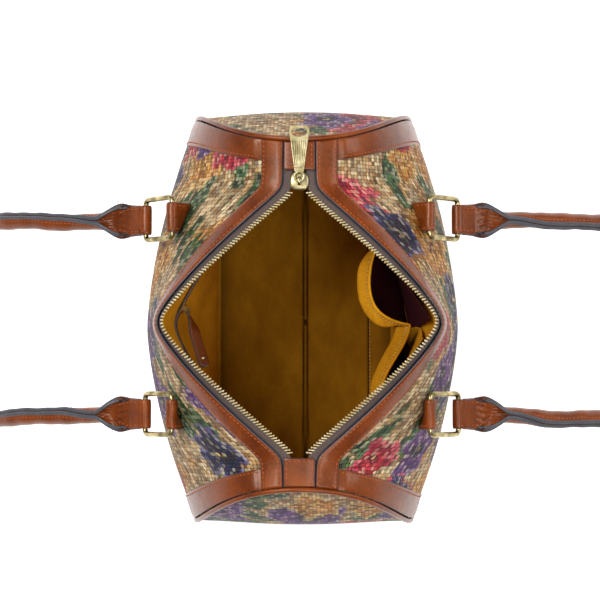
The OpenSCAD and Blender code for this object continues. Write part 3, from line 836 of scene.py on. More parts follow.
@dataclass(frozen=True)
class WeaveFinish:
    """Basket weave with a painterly print of blossoms and leaves, one colour to each strand."""

    name: str = "woven_cloth"
    cell: float = 0.0028
    straw: Stops = ((0.0, (228, 192, 138)), (0.35, (242, 218, 172)), (0.6, (212, 166, 110)), (0.86, (180, 128, 80)))
    amber: Stops = ((0.0, (232, 164, 72)), (0.5, (220, 146, 58)), (0.85, (244, 190, 104)))
    green: Stops = ((0.0, (30, 66, 48)), (0.3, (58, 104, 58)), (0.55, (88, 126, 74)), (0.78, (152, 160, 98)))
    red: Stops = ((0.0, (236, 186, 84)), (0.13, (116, 18, 40)), (0.27, (214, 44, 66)), (0.5, (188, 30, 58)),
                  (0.66, (232, 96, 110)))
    plum: Stops = ((0.0, (240, 196, 96)), (0.12, (26, 32, 70)), (0.36, (132, 76, 150)), (0.6, (98, 60, 128)),
                   (0.76, (156, 120, 176)))
    slate: Stops = ((0.0, (232, 180, 90)), (0.16, (18, 32, 60)), (0.5, (40, 48, 92)), (0.74, (122, 112, 160)))
    gold: Stops = ((0.0, (150, 70, 30)), (0.18, (238, 170, 70)), (0.46, (224, 142, 48)), (0.7, (246, 202, 126)))

    def make(self) -> bpy.types.Material:
        """Builds the material: coordinates snapped to strands, blossoms from cell distances, strands as bump, and
        painted shade in the gaps between strands.

        Returns:
            Material.
        """
        g = Graph(self.name, Specular_IOR_Level=0.22)
        flat = g.flat()
        split = g.node("SeparateXYZ", None, {0: flat})
        u, v = split / self.cell, split.out(1) / self.cell
        iu, iv = u.math("FLOOR"), v.math("FLOOR")
        snapped = g.node("CombineXYZ", None, {0: (iu + 0.5) * self.cell, 1: (iv + 0.5) * self.cell})
        seed = g.node("TexWhiteNoise", {"noise_dimensions": "2D"}, {"Vector": snapped}, out="Value")
        near = g.blend(0.4, flat, snapped)
        wander = g.node("TexNoise", None, {"Vector": near, "Scale": 60.0, "Detail": 2.0}, out="Color")
        bent = g.node("VectorMath", {"operation": "MULTIPLY_ADD"}, {0: wander, 1: (0.02, 0.02, 0.0), 2: near})
        colour = self._leaves(g, bent, seed, self._ground(g, snapped, seed))
        for scale, shift in ((13.5, 0.0), (20.0, 0.37)):
            colour = self._blossoms(g, bent, seed, colour, scale, shift)
        odd = (iu + iv).math("PINGPONG", 1.0)
        fu, fv = u.math("FRACT"), v.math("FRACT")
        arch = lambda a, b: 1 - (g.blend(odd, a, b) * 2 - 1).math("ABSOLUTE") ** 2.4
        height = arch(fu, fv) * 0.55 + arch(fv, fu) * 0.45
        drawn = g.node("Mapping", None, {"Vector": near, "Rotation": (0, 0, 0.65), "Scale": (1.0, 6.0, 1.0)})
        stroke, fibre = g.noise(drawn, 60, 3), g.noise(flat, 2600, 2)
        tone = (seed * 7.31).math("FRACT")
        colour = g.coats(colour,
                         ((1 - stroke.step(0.32, 0.58)) * 0.68, (34, 30, 44)),
                         (stroke.step(0.56, 0.72) * 0.3, (250, 226, 196)),
                         ((1 - tone.step(0.0, 0.7)) * 0.6, (56, 36, 26)),
                         (tone.step(0.66, 1.0) * 0.3, (255, 238, 200)),
                         # Painted shade: the gaps between strands, where the strand height is low, are darkened almost
                         # to black-brown.
                         ((1 - height.step(0.1, 0.66)) * 0.95, (30, 22, 20)),
                         (fibre.step(0.55, 0.8) * 0.12, (236, 206, 150)))
        g.feed(Base_Color=colour, Roughness=g.noise(snapped, 500) * 0.3 + 0.38)
        g.feed(Normal=g.bump(height + fibre * 0.15, 0.0011, 0.9))
        return g.material

    def _ground(self, g: Graph, at: Value, seed: Value) -> Value:
        """Cream and tan straw at snapped coordinates, each strand its own tone, washed with broad amber patches."""
        wash = g.noise(at, 22, 2).step(0.56, 0.66)
        return g.blend(wash, g.ramp(seed, self.straw), g.ramp(seed, self.amber))

    def _leaves(self, g: Graph, at: Value, seed: Value, under: Value) -> Value:
        """Leaves: long cells of two leanings, some of them left out, shaded from their middle outwards.

        Args:
            g: Tree.
            at: Bent coordinates.
            seed: Random value of the strand.
            under: Colour below.

        Returns:
            Colour.
        """
        for turn, place in ((0.7, 0.0), (-0.9, 3.3)):
            lean = g.node("Mapping", None, {"Vector": at, "Location": (place, place, 0), "Rotation": (0, 0, turn),
                                            "Scale": (1.0, 2.6, 1.0)})
            leaf = g.node("TexVoronoi", None, {"Vector": lean, "Scale": 22.0})
            pick = g.node("SeparateColor", None, {0: leaf.out("Color")})
            body = (1 - leaf.step(0.34, 0.42)) * pick.step(0.16, 0.18)
            under = g.blend(body, under, g.ramp(seed * 0.6 + leaf * 0.6, self.green))
        return under

    def _blossoms(self, g: Graph, at: Value, seed: Value, under: Value, scale: float, shift: float) -> Value:
        """Blossoms: round cells whose edge waves with the angle round their middle, ringed light to dark.

        Args:
            g: Tree.
            at: Bent coordinates.
            seed: Random value of the strand.
            under: Colour below.
            scale: Blossoms per metre.
            shift: Offset of the layout.

        Returns:
            Colour.
        """
        moved = g.node("Mapping", None, {"Vector": at, "Location": (shift, 2 * shift + 0.11, 0)})
        cell = g.node("TexVoronoi", {"voronoi_dimensions": "2D"}, {"Vector": moved, "Scale": scale, "Randomness": 0.8})
        away = g.node("VectorMath", {"operation": "SUBTRACT"}, {0: moved, 1: cell.out("Position")})
        xy = g.node("SeparateXYZ", None, {0: away})
        turn = xy.out(1).math("ARCTAN2", xy)
        pick = g.node("SeparateColor", None, {0: cell.out("Color")})
        other = pick.out(1)
        petals = (turn * 5 + other * 6.0).math("SINE") * 0.16 + (turn * 11 + other * 9.0).math("SINE") * 0.06
        radius = cell * (1 + petals) + seed * 0.07
        inside = (1 - radius.step(0.4, 0.42)) * other.step(0.2, 0.22)
        bloom = g.ramp(radius * 2.1, self.red)
        for start, rings in ((0.26, self.plum), (0.58, self.slate), (0.76, self.gold)):
            bloom = g.blend(pick.step(start, start + 0.01), bloom, g.ramp(radius * 2.1, rings))
        return g.blend(inside, under, bloom)


@dataclass(frozen=True)
class SuedeFinish:
    """Napped suede with brushed patches and dark inner pockets."""

    name: str = "suede"
    pale: Colour = srgb(236, 166, 30)
    deep: Colour = srgb(186, 124, 14)

    def make(self) -> bpy.types.Material:
        """Builds the material: brushed tone from stretched noise, darkened by the mesh's crease value, which holds seam
        lines and painted shade, and by its maroon value.

        Returns:
            Material.
        """
        g = Graph(self.name, Specular_IOR_Level=0.12, Roughness=0.95)
        at = g.place()
        brushed = g.node("Mapping", None, {"Vector": at, "Scale": (1.0, 2.2, 0.8)})
        tone = g.noise(brushed, 26, 5, 0.6) * 0.8 + g.noise(at, 700, 2) * 0.35
        colour = g.blend(tone.step(0.36, 0.86), self.deep, self.pale)
        # Painted shade: the crease value darkens the lining at the foot of its walls and over its floor, besides its
        # seam lines.
        colour = g.coats(colour, (g.attribute("crease"), (62, 38, 4)), (g.attribute("maroon"), (60, 12, 22)))
        g.feed(Base_Color=colour, Normal=g.bump(g.noise(at, 1500, 3), 0.0003, 0.5))
        return g.material


@dataclass(frozen=True)
class TapeFinish:
    """Woven zip tape: fine twill across its length."""

    name: str = "zip_tape"
    pale: Colour = srgb(122, 104, 96)
    deep: Colour = srgb(76, 64, 62)

    def make(self) -> bpy.types.Material:
        """Builds the material: slanted waves of the flat coordinates as thread.

        Returns:
            Material.
        """
        g = Graph(self.name, Specular_IOR_Level=0.2, Roughness=0.85)
        flat = g.flat()
        split = g.node("SeparateXYZ", None, {0: flat})
        slant = (split.out(1) * 1400).math("PINGPONG", 1.0) * 0.0006
        twill = ((split + slant) * 5200).math("SINE") * 0.5 + 0.5
        tone = twill * 0.55 + g.noise(flat, 500, 3) * 0.5
        colour = g.blend(tone.step(0.1, 0.95), self.deep, self.pale)
        g.feed(Base_Color=g.coats(colour, (g.attribute("edge"), (48, 54, 66))), Normal=g.bump(twill, 0.0003, 0.6))
        return g.material


@dataclass(frozen=True)
class BrassFinish:
    """Antique brass, brighter where it is rubbed."""

    name: str
    bright: Colour
    dull: Colour
    roughness: float = 0.24
    metallic: float = 1.0

    def make(self) -> bpy.types.Material:
        """Builds the material: patina from noise, darker in the mesh's creases.

        Returns:
            Material.
        """
        g = Graph(self.name, Metallic=self.metallic)
        at = g.place()
        worn = g.noise(at, 130, 4).step(0.3, 0.75)
        colour = g.blend(worn, self.dull, self.bright)
        g.feed(Base_Color=g.coats(colour, (g.attribute("crease") * 0.7, (52, 42, 22))))
        g.feed(Roughness=(1 - worn) * 0.16 + self.roughness)
        g.feed(Normal=g.bump(g.noise(at, 900, 2), 0.00005, 0.12))
        return g.material


@dataclass(frozen=True)
class PlainFinish:
    """One colour with a little mottle."""

    name: str
    colour: Colour
    roughness: float = 0.8

    def make(self) -> bpy.types.Material:
        """Builds the material: the colour darkened by a fine noise.

        Returns:
            Material.
        """
        g = Graph(self.name, Roughness=self.roughness, Specular_IOR_Level=0.3)
        mottle = g.noise(g.place(), 900, 2).step(0.3, 0.7)
        g.feed(Base_Color=g.blend(mottle, shade(self.colour, 0.7), self.colour))
        return g.material


@dataclass
class Kit:
    """The finishes by name, and the ways in which a piece joins the frame."""

    materials: dict[str, bpy.types.Material]

    def add(self, name: str, surface: Surface, finish: str, slot: str, body: str = "bag",
            nodes: tuple[str, ...] = ()) -> None:
        """Builds a piece and ties it to its body and nodes.

        Args:
            name: Piece name.
            surface: Its surface.
            finish: Key of its finish.
            slot: Not used.
            body: Body that it rides on.
            nodes: Nodes that it stands for.
        """
        obj = surface.build(name, self.materials[finish])
        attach(obj, body)
        if nodes:
            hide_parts(*nodes)
        LOG.info("%s rides on %s", name, body)

    def leather(self, name: str, surface: Surface, node: str, body: str = "bag") -> None:
        """Adds a piece of the main leather that stands for one node."""
        self.add(name, surface, "leather", "leather", body, (node,))

    def thread(self, name: str, rows: list[Surface], body: str = "bag") -> None:
        """Adds rows of leather stitching as one piece."""
        self.add(name, Surface.joined(rows), "thread", "leather", body)


@dataclass
class Cloth:
    """Woven front, back and ends."""

    kit: Kit
    under_tape: float = 0.5
    seam_out: float = 2.25
    end_middle: float = 95.0
    end_dip_r: float = 90.0
    end_bulge: float = 9.0
    end_bulge_z: float = 142.0
    end_bulge_fade: float = 42.0
    front_print: tuple[float, float] = (436.0, 291.0)
    end_print: tuple[float, float] = (700.0, 300.0)
    left_print: tuple[float, float] = (211.0, 503.0)

    def panel(self) -> Surface:
        """Back panel: the skin from the tape's edge down to the base, puffed a little between its seams.

        Returns:
            Surface.
        """
        x = SHAPE.stations(SHAPE.side_limit, 200)
        top = SHAPE.from_rim(x, SHAPE.tape_show + SHAPE.tape_lap + self.under_tape)
        t = mix(top[None], 0.0, np.linspace(0, 1, 150)[:, None])
        puff = SHAPE.puff(x, SHAPE.skin(x[None], t)[..., 2])
        outer, inner = (SHAPE.layer(x[None], t, puff - depth) for depth in (0.0, SHAPE.woven_t))
        steps = np.linalg.norm(np.diff(outer, axis=0), axis=-1)
        arc = np.concatenate([np.zeros((1, len(x))), np.cumsum(steps, axis=0)])
        return shell(outer, inner, np.stack([outer[..., 0], -arc], -1))

    def end(self) -> Surface:
        """Right end: rings drawn in from the seam to the middle on the inner and the outer face.

        It dips by the square of the distance from its middle, and bulges by a bell curve of its height.

        Returns:
            Surface.
        """
        t = np.linspace(0, 1, 70)
        p = SHAPE.section(np.array(SHAPE.end_top))
        d = unit(SHAPE.curve(p, t + 0.004) - SHAPE.curve(p, t - 0.004))
        side = SHAPE.curve(p, t) + self.seam_out * np.stack([-d[:, 1], d[:, 0]], -1)
        foot = np.linspace(-1, 1, 24)[1:-1, None] * np.array([side[0, 0], 0]) + np.array([0, side[0, 1]])
        outline = np.concatenate([side, side[::-1] * np.array([-1, 1]), foot])
        middle = np.array([0.0, self.end_middle])
        inner = np.linspace(0.02, 1, 36)[:, None]
        shares = np.concatenate([inner, inner[::-1]])
        q = mix(middle, outline[None], shares[..., None])
        r = np.linalg.norm(q - middle, axis=-1) / self.end_dip_r
        face = np.repeat([-0.5, 0.5], len(inner))[:, None] * SHAPE.woven_t
        bell = np.exp(-((q[..., 1] - self.end_bulge_z) / self.end_bulge_fade) ** 2)
        x = SHAPE.reach(q[..., 1], SHAPE.end_h) - SHAPE.end_dip * np.maximum(0, 1 - r * r)
        x = x + self.end_bulge * (1 - shares ** 2) * bell + face
        return sweep(np.concatenate([x[..., None], q], -1), uv=q + np.array(self.end_print))

    def build(self) -> None:
        """Adds the panels and ends, each with its own part of the print."""
        panel, end = self.panel(), self.end()
        front, left = panel.mirrored(1), end.mirrored(0)
        front.uv, left.uv = panel.uv + np.array(self.front_print), end.uv + np.array(self.left_print)
        for name, surface in (("back_panel", panel), ("front_panel", front), ("right_end_panel", end),
                              ("left_end_panel", left)):
            self.kit.add(name + "_cloth", surface, "weave", "woven_cloth", nodes=(name,))


@dataclass
class Trim:
    """Leather that is sewn to the cloth: bindings, bands, piping and zip patches, with their stitching."""

    kit: Kit
    binding_pad: float = 0.8
    binding_inset: float = 2.3
    pad: float = 0.5
    band_lift: float = 0.375
    band_tuck: float = 3.0
    band_inset: float = 2.2
    band_foot: float = 0.01
    piping_r: float = 2.0
    patch_start: float = 106.75
    patch_l: float = 21.0
    patch_half_w: float = 11.5
    patch_z: float = 196.0
    patch_seam: tuple[float, float, float] = (109.0, 127.0, 9.2)

    @staticmethod
    def row(x: Array, t: Array, lift: float) -> Surface:
        """Stitches along places x and t of the skin, at the distance lift off it."""
        return stitches(SHAPE.layer(x, t, np.full_like(x, lift)), SHAPE.normal(x, t))

    def binding(self) -> tuple[Surface, Surface]:
        """Binding of the back: the strip's profile carried along the rim between two arc distances.

        Returns:
            Leather and stitches.
        """
        x = SHAPE.stations(SHAPE.side_limit, 260)
        across, height, paint = strip_profile()
        d = SHAPE.tape_show + SHAPE.binding_w * (0.5 + 0.5 * across)
        t = SHAPE.from_rim(x[:, None], d[None])
        puff = self.binding_pad * (1 - across ** 2) * (height > 0.5)
        lift = np.broadcast_to(SHAPE.layer_gap + SHAPE.leather_t * height + puff, t.shape)
        leather = sweep(SHAPE.layer(x[:, None], t, lift), values={"edge": paint},
                        uv=stacked(SHAPE.rim_run(x)[:, None], d[None]))
        rows = [self.row(x, SHAPE.from_rim(x, SHAPE.tape_show + inset), SHAPE.layer_gap + SHAPE.leather_t + 0.4)
                for inset in (self.binding_inset, SHAPE.binding_w - self.binding_inset)]
        return leather, Surface.joined(rows)

    def band(self) -> tuple[Surface, Surface]:
        """Band at the right end of the back: the strip's profile carried up the skin, thinned under the binding.

        Returns:
            Leather and stitches.
        """
        across, height, paint = strip_profile()
        x = SHAPE.side_limit - SHAPE.band_w / 2 + across * SHAPE.band_w / 2
        s = np.linspace(0, 1, 110)[:, None]
        edge = SHAPE.tape_show + SHAPE.binding_w
        t = mix(self.band_foot, SHAPE.from_rim(x, edge - self.band_tuck)[None], s)
        puff = self.pad * (1 - across ** 2) * (height > 0.5)
        lift = self.band_lift + (SHAPE.leather_t * height + puff) * (1 - 0.8 * ease((s - 0.955) / 0.03))
        leather = sweep(SHAPE.layer(x[None], t, lift), values={"edge": paint}, uv=stacked(x[None], t * 260))
        xs = np.full(len(s), SHAPE.side_limit - SHAPE.band_w + self.band_inset)
        ts = mix(self.band_foot, SHAPE.from_rim(xs, edge + 2), s[:, 0])
        return leather, self.row(xs, ts, self.band_lift + SHAPE.leather_t + 0.3)

    def piping(self) -> Surface:
        """Right piping: a circle carried along the end seam from base over the top to base.

        Returns:
            Surface.
        """
        def seam(f: Array) -> Array:
            """Seam from 1 at the back's base over 0 at the top to -1 at the front's base."""
            q = SHAPE.skin(np.full_like(f, SHAPE.end_top), 1 - np.abs(f))
            return q * np.stack([np.ones_like(f), np.sign(f), np.ones_like(f)], -1)

        back = np.linspace(0.985, 0.001, 110)
        f = np.concatenate([back, -back[::-1]])
        return cord(seam(f), unit(seam(f - 0.006) - seam(f + 0.006)), np.array([1.0, 0, 0]), self.piping_r, 14)

    def patch(self) -> tuple[Surface, Surface]:
        """Right zip patch: the strip's profile carried along X, drawn in at both ends to round them.

        Returns:
            Leather and stitches.
        """
        across, height, paint = strip_profile()
        s = np.concatenate([[0, 0.01, 0.03, 0.07], np.linspace(0.12, 0.88, 14), [0.93, 0.97, 0.99, 1]])[:, None]
        tip = np.sqrt(np.clip(1 - (np.maximum(0, np.abs(2 * s - 1) - 0.93) / 0.07) ** 2, 0.02, 1))
        crown = self.pad * (1 - across ** 2) * (height > 0.5)
        z = self.patch_z + ((height - 0.5) * SHAPE.leather_t + crown) * tip
        edge = np.clip(np.maximum(paint, (1 - tip) * 1.2), 0, 1)
        leather = sweep(stacked(self.patch_start + self.patch_l * s, across * self.patch_half_w, z),
                        values={"edge": edge})
        near, far, half = self.patch_seam
        corners = np.array([[far, -half], [near, -half], [near, half], [far, half]])
        rows = []
        for a, b in zip(corners[:-1], corners[1:]):
            q = mix(a, b, np.linspace(0, 1, 30)[:, None])
            zs = self.patch_z + 0.95 + self.pad * (1 - (q[:, 1] / self.patch_half_w) ** 2)
            rows.append(stitches(np.column_stack([q, zs]), UP))
        return leather, Surface.joined(rows)

    def build(self) -> None:
        """Adds the leather and one piece of stitching for all of it."""
        binding, band, piping, patch = self.binding(), self.band(), self.piping(), self.patch()
        thread = []
        for side in Side:
            leather, rows = (side.turn(s) for s in binding)
            self.kit.leather(f"{side.label}_binding_leather", leather, f"{side.label}_zip_binding")
            thread.append(rows)
            for end in End:
                leather, rows = (end.turn(side.turn(s)) for s in band)
                name = f"{side.label}_{end.label}_band"
                self.kit.leather(f"{name}_leather", leather, name)
                thread.append(rows)
        for end in End:
            self.kit.leather(f"{end.label}_piping_leather", end.turn(piping), f"{end.label}_piping")
            leather, rows = (end.turn(s) for s in patch)
            self.kit.leather(f"{end.label}_patch_leather", leather, f"{end.label}_zip_patch")
            thread.append(rows)
        self.kit.thread("trim_stitching", thread)


@dataclass
class Zip:
    """Tapes, teeth, slider and pull of the open zip."""

    kit: Kit
    pitch: float = 2.6
    hinge: tuple[float, float] = (98.3, 198.254)
    tape_from: float = 2.6
    tape_to: float = 13.0
    tape_lifts: tuple[float, float] = (-0.5, -1.3)
    slider_x: float = 99.0
    slider_half: tuple[float, float] = (7.0, 6.8)
    bridge: tuple[float, float, float] = (2.72, 5.06, 195.9)
    blade_start: tuple[float, float] = (6.2, 3.4)
    blade_wide: tuple[float, float] = (38.0, 7.5)
    slot_x: float = 36.3
    slot_half: tuple[float, float] = (2.9, 5.8)
    flutes: tuple[float, float] = (9.0, 30.5)
    half_t: float = 0.8
    eye_r: float = 3.4

    def tape(self) -> Surface:
        """Tape of the back: a thin sheet from the teeth to under the binding.

        Returns:
            Surface.
        """
        x = SHAPE.stations(SHAPE.side_limit, 220)[None]
        d = np.linspace(self.tape_from, self.tape_to, 9)[:, None]
        t = SHAPE.from_rim(x, d)
        upper, lower = (SHAPE.layer(x, t, np.full_like(t, lift)) for lift in self.tape_lifts)
        edge = np.broadcast_to(ease((d - 8.6) / 1.2), t.shape)
        return shell(upper, lower, stacked(SHAPE.rim_run(x[0]), d), {"edge": edge})

    def teeth(self) -> Surface:
        """Teeth of the back: a block with a clamped foot, a waist and a round head, repeated along the rim.

        Returns:
            Surface.
        """
        up = np.array([-3.3, -3.0, -1.5, -0.9, -0.1, 0.45, 1.0, 1.25])[:, None]
        half_l = np.array([0.36, 0.5, 0.5, 0.4, 0.4, 0.56, 0.5, 0.3])[:, None]
        half_t = np.array([0.8, 1.05, 1.05, 0.9, 0.85, 1.0, 0.85, 0.5])[:, None]
        g = circle(8) + math.pi / 8
        tooth = sweep(stacked(half_l * signed_power(np.cos(g), 0.6), up, half_t * signed_power(np.sin(g), 0.6)))
        xs = np.linspace(SHAPE.mouth_back, SHAPE.mouth_front, 1200)
        arc = arc_of(SHAPE.skin(xs, 1.0))
        count = int(arc[-1] / self.pitch) - 1
        x = np.interp((np.arange(count) + 1) * arc[-1] / (count + 1), arc, xs)
        normal, rim = SHAPE.normal(x, 1.0), SHAPE.skin(x, 1.0)
        rise = unit(rim - SHAPE.skin(x, 0.98))
        along = unit(np.cross(rise, normal))
        return copies(tooth, rim - 0.9 * normal, np.stack([along, rise, np.cross(along, rise)], 1))

    def slider(self) -> Surface:
        """Slider: two lofted plates that narrow towards the closed end, a wedge and an arched bridge.

        Returns:
            Surface.
        """
        g = circle(40)
        half_x, half_y = self.slider_half
        px = half_x * signed_power(np.cos(g), 0.55)
        py = half_y * signed_power(np.sin(g), 0.55) * mix(1, 0.7, ease((px - 0.7) / 6.3))
        size = np.array([0.94, 1, 1, 0.95, 0.7, 0.3])[:, None]
        parts = []
        for low, thick, dome, narrow in ((194.75, 1.4, 0.5, 1.0), (190.35, 1.4, 0.0, 1.0), (191.6, 3.4, 0.0, 0.2)):
            z = low + np.array([0, 0.3, thick - 0.4, thick - 0.1, thick + dome * 0.6, thick + dome])[:, None]
            parts.append(sweep(stacked(self.slider_x + px * size, py * size * narrow, z)))
        a = np.linspace(0, math.pi, 30)
        span, rise, foot = self.bridge
        path = np.stack([self.hinge[0] - span * signed_power(np.cos(a), 0.7), foot + rise * np.sin(a) ** 0.7], -1)
        h = circle(12)
        xz = path[:, None] + left_of(path)[:, None] * (0.6 * signed_power(np.sin(h), 0.6))[None, :, None]
        parts.append(sweep(stacked(xz[..., 0], 1.2 * signed_power(np.cos(h), 0.6), xz[..., 1])))
        return Surface.joined(parts)

    def pull(self) -> Surface:
        """Pull: rings of points from its slot out to its edge on both faces, with flutes cut across y, and an eye.

        Returns:
            Surface.
        """
        (x0, y0), (x1, y1) = self.blade_start, self.blade_wide
        lower = np.array([[x0, -y0], [x1, -y1], [40.2, -6.6], [41.0, -4.5]])
        corners = np.concatenate([lower, lower[::-1] * np.array([1, -1]), lower[:1]])
        outline = resampled(corners, 321)[:-1]
        a = np.arctan2(outline[:, 1], (outline[:, 0] - self.slot_x) * 1.6)
        slot_x, slot_y = self.slot_half
        slot = stacked(self.slot_x + slot_x * signed_power(np.cos(a), 0.8), slot_y * signed_power(np.sin(a), 0.8))
        share = np.concatenate([[0, 0.01, 0.03], np.linspace(0.06, 0.94, 70), [0.975, 0.993, 1]])
        q = mix(slot[None], outline[None], share[:, None, None])
        x, y = q[..., 0], q[..., 1]
        half = np.interp(x, [x0, x1], [y0, y1])
        start, stop = self.flutes
        body = ease((half - np.abs(y) - 0.7) / 0.4) * ease((x - start) / 1.5) * ease((stop - x) / 1.5)
        flute = (0.5 + 0.5 * np.cos(8 * math.pi * y / half)) * body
        round_off = np.interp(share, [0, 0.01, 0.03, 0.975, 0.993, 1], [0.55, 0.85, 1, 1, 0.85, 0.5])[:, None]
        z = self.half_t * round_off - 0.32 * flute - 0.12 * body
        rings = np.concatenate([stacked(x, y, z), stacked(x, y, -z)[::-1]])
        blade = sweep(rings, closed=True, values={"crease": np.concatenate([flute, flute[::-1]])})
        g, h = circle(48)[:, None], circle(14)
        radius = self.eye_r + 0.9 * signed_power(np.cos(h), 0.7)
        eye = stacked(self.eye_r + radius * np.cos(g), radius * np.sin(g), self.half_t * signed_power(np.sin(h), 0.7))
        made = Surface.joined([blade, sweep(eye, closed=True)])
        made.verts = made.verts + np.array([self.hinge[0], 0, self.hinge[1]])
        return made

    def build(self) -> None:
        """Adds the zip's pieces."""
        add = self.kit.add
        tape, teeth = self.tape(), self.teeth()
        for side in Side:
            name = side.label
            add(f"{name}_tape_cloth", side.turn(tape), "tape", "zip_tape", nodes=(f"{name}_zip_tape",))
            add(f"{name}_teeth_metal", side.turn(teeth), "teeth_brass", "antique_brass", nodes=(f"{name}_zip_teeth",))
        add("slider_metal", self.slider(), "zip_brass", "antique_brass", nodes=("zip_slider",))
        add("pull_metal", self.pull(), "zip_brass", "antique_brass", "zip_pull", ("zip_pull",))


@dataclass
class Hardware:
    """Rings and the leather tabs that hold them."""

    kit: Kit
    corner_r: float = 3.6
    loop_r: float = 3.5
    leaf_z: tuple[float, float] = (140.0, 149.0)
    under_lift: float = 1.35
    over_lift: float = 3.55
    over_rise: float = 0.8
    seam_x: float = 8.8
    cross_seam_z: float = 143.2
    cross_seam_lift: float = 4.75

    def ring(self, x: float) -> Surface:
        """Ring of the back: a circle of wire carried round a rounded rectangle that hangs from the hinge line.

        Args:
            x: Its place along X.

        Returns:
            Surface.
        """
        w, l, r = SHAPE.ring_w / 2, SHAPE.ring_l, self.corner_r
        parts = []
        for k, (sx, sy) in enumerate(((1, 1), (-1, 1), (-1, -1), (1, -1))):
            a = np.linspace(0, math.pi / 2, 10) + k * math.pi / 2
            parts.append(np.stack([sx * (w - r) + r * np.cos(a), l / 2 + sy * (l / 2 - r) + r * np.sin(a)], -1))
        path = resampled(np.concatenate(parts + [parts[0][:1]]), 141)[:-1]
        d = unit(np.roll(path, -1, 0) - np.roll(path, 1, 0))
        n = np.stack([d[:, 1], -d[:, 0]], -1)
        g = circle(18)
        flat = path[:, None] + n[:, None] * (SHAPE.wire_r * np.cos(g))[None, :, None]
        out = SHAPE.wire_r * np.sin(g)
        c, s = math.cos(SHAPE.ring_drop), math.sin(SHAPE.ring_drop)
        return sweep(stacked(x + flat[..., 0], SHAPE.hinge_y + flat[..., 1] * c + out * s,
                             SHAPE.hinge_z - flat[..., 1] * s + out * c), closed=True)

    def tab(self, x: float) -> tuple[Surface, Surface]:
        """Tab of the back: a strip that comes up the panel, runs round the bar and lies back down over itself.

        Between panel and bar it is straight, and it meets the bar's circle where that line touches it: at the
        angle of the panel's point seen from the bar, less or plus the arc cosine of radius over distance.

        Args:
            x: Its place along X.

        Returns:
            Leather and stitches.
        """
        across, height, paint = strip_profile(0.3)
        xs, rise = together(x + across * SHAPE.tab_w / 2, np.linspace(*self.leaf_z, 8)[:, None])
        bar = np.array([SHAPE.hinge_y, SHAPE.hinge_z])
        under = SHAPE.side_point(xs, rise, self.under_lift)[..., 1:]
        over = SHAPE.side_point(xs, rise + self.over_rise, self.over_lift)[..., 1:]
        touch = []
        for point, sign, whole in ((under[-1], -1, 2 * math.pi), (over[-1], 1, 0.0)):
            away = point - bar
            touch.append(np.arctan2(away[:, 1], away[:, 0]) + whole
                         + sign * np.arccos(self.loop_r / np.linalg.norm(away, axis=-1)))
        angle = mix(*touch, np.linspace(0, 1, 36)[:, None])
        loop = bar + self.loop_r * np.stack([np.cos(angle), np.sin(angle)], -1)
        between = np.linspace(0, 1, 7)[1:-1, None, None]
        path = np.concatenate([under, mix(under[-1], loop[0], between), loop, mix(loop[-1], over[-1], between),
                               over[::-1]])
        path[1:-1] = (path[:-2] + path[1:-1] + path[2:]) / 3
        n = left_of(path)
        flat = path + n * ((height - 0.5) * SHAPE.strap_t)[None, :, None]
        rows = len(path)
        ends = (np.arange(rows) % (rows - 1) == 0)[:, None] * 1.0
        leather = sweep(stacked(xs[:1], flat[..., 0], flat[..., 1]), values={"edge": np.maximum(paint, ends)})
        thread = []
        for sx in (-1, 1):
            k = int(np.argmin(np.abs(across - sx * 0.8) + (height < 0.5)))
            line = np.concatenate([np.full((rows, 1), x + sx * self.seam_x), path[:, k] + n[:, k] * 1.2], -1)
            for part in (slice(9, 20), slice(26, 34), slice(54, 61)):
                out = np.concatenate([np.zeros((30, 1)), resampled(n[part, k], 30)], -1)
                thread.append(stitches(resampled(line[part], 30), unit(out)))
        row = x + np.linspace(-self.seam_x, self.seam_x, 30)
        low = SHAPE.side_point(row, np.full(30, self.cross_seam_z), self.cross_seam_lift)
        thread.append(stitches(low, np.append(0, n[-4, 0])))
        return leather, Surface.joined(thread)

    def build(self) -> None:
        """Adds the four rings, the four tabs and the tabs' stitching."""
        thread = []
        for side in Side:
            for end in End:
                x = end.value * SHAPE.ring_x
                name = f"{side.label}_{end.label}"
                self.kit.add(f"{name}_ring_metal", side.turn(self.ring(x)), "brass", "antique_brass",
                             f"{side.label}_rings", (f"{name}_ring",))
                leather, rows = (side.turn(s) for s in self.tab(x))
                self.kit.leather(f"{name}_tab_leather", leather, f"{name}_tab")
                thread.append(rows)
        self.kit.thread("tab_stitching", thread)


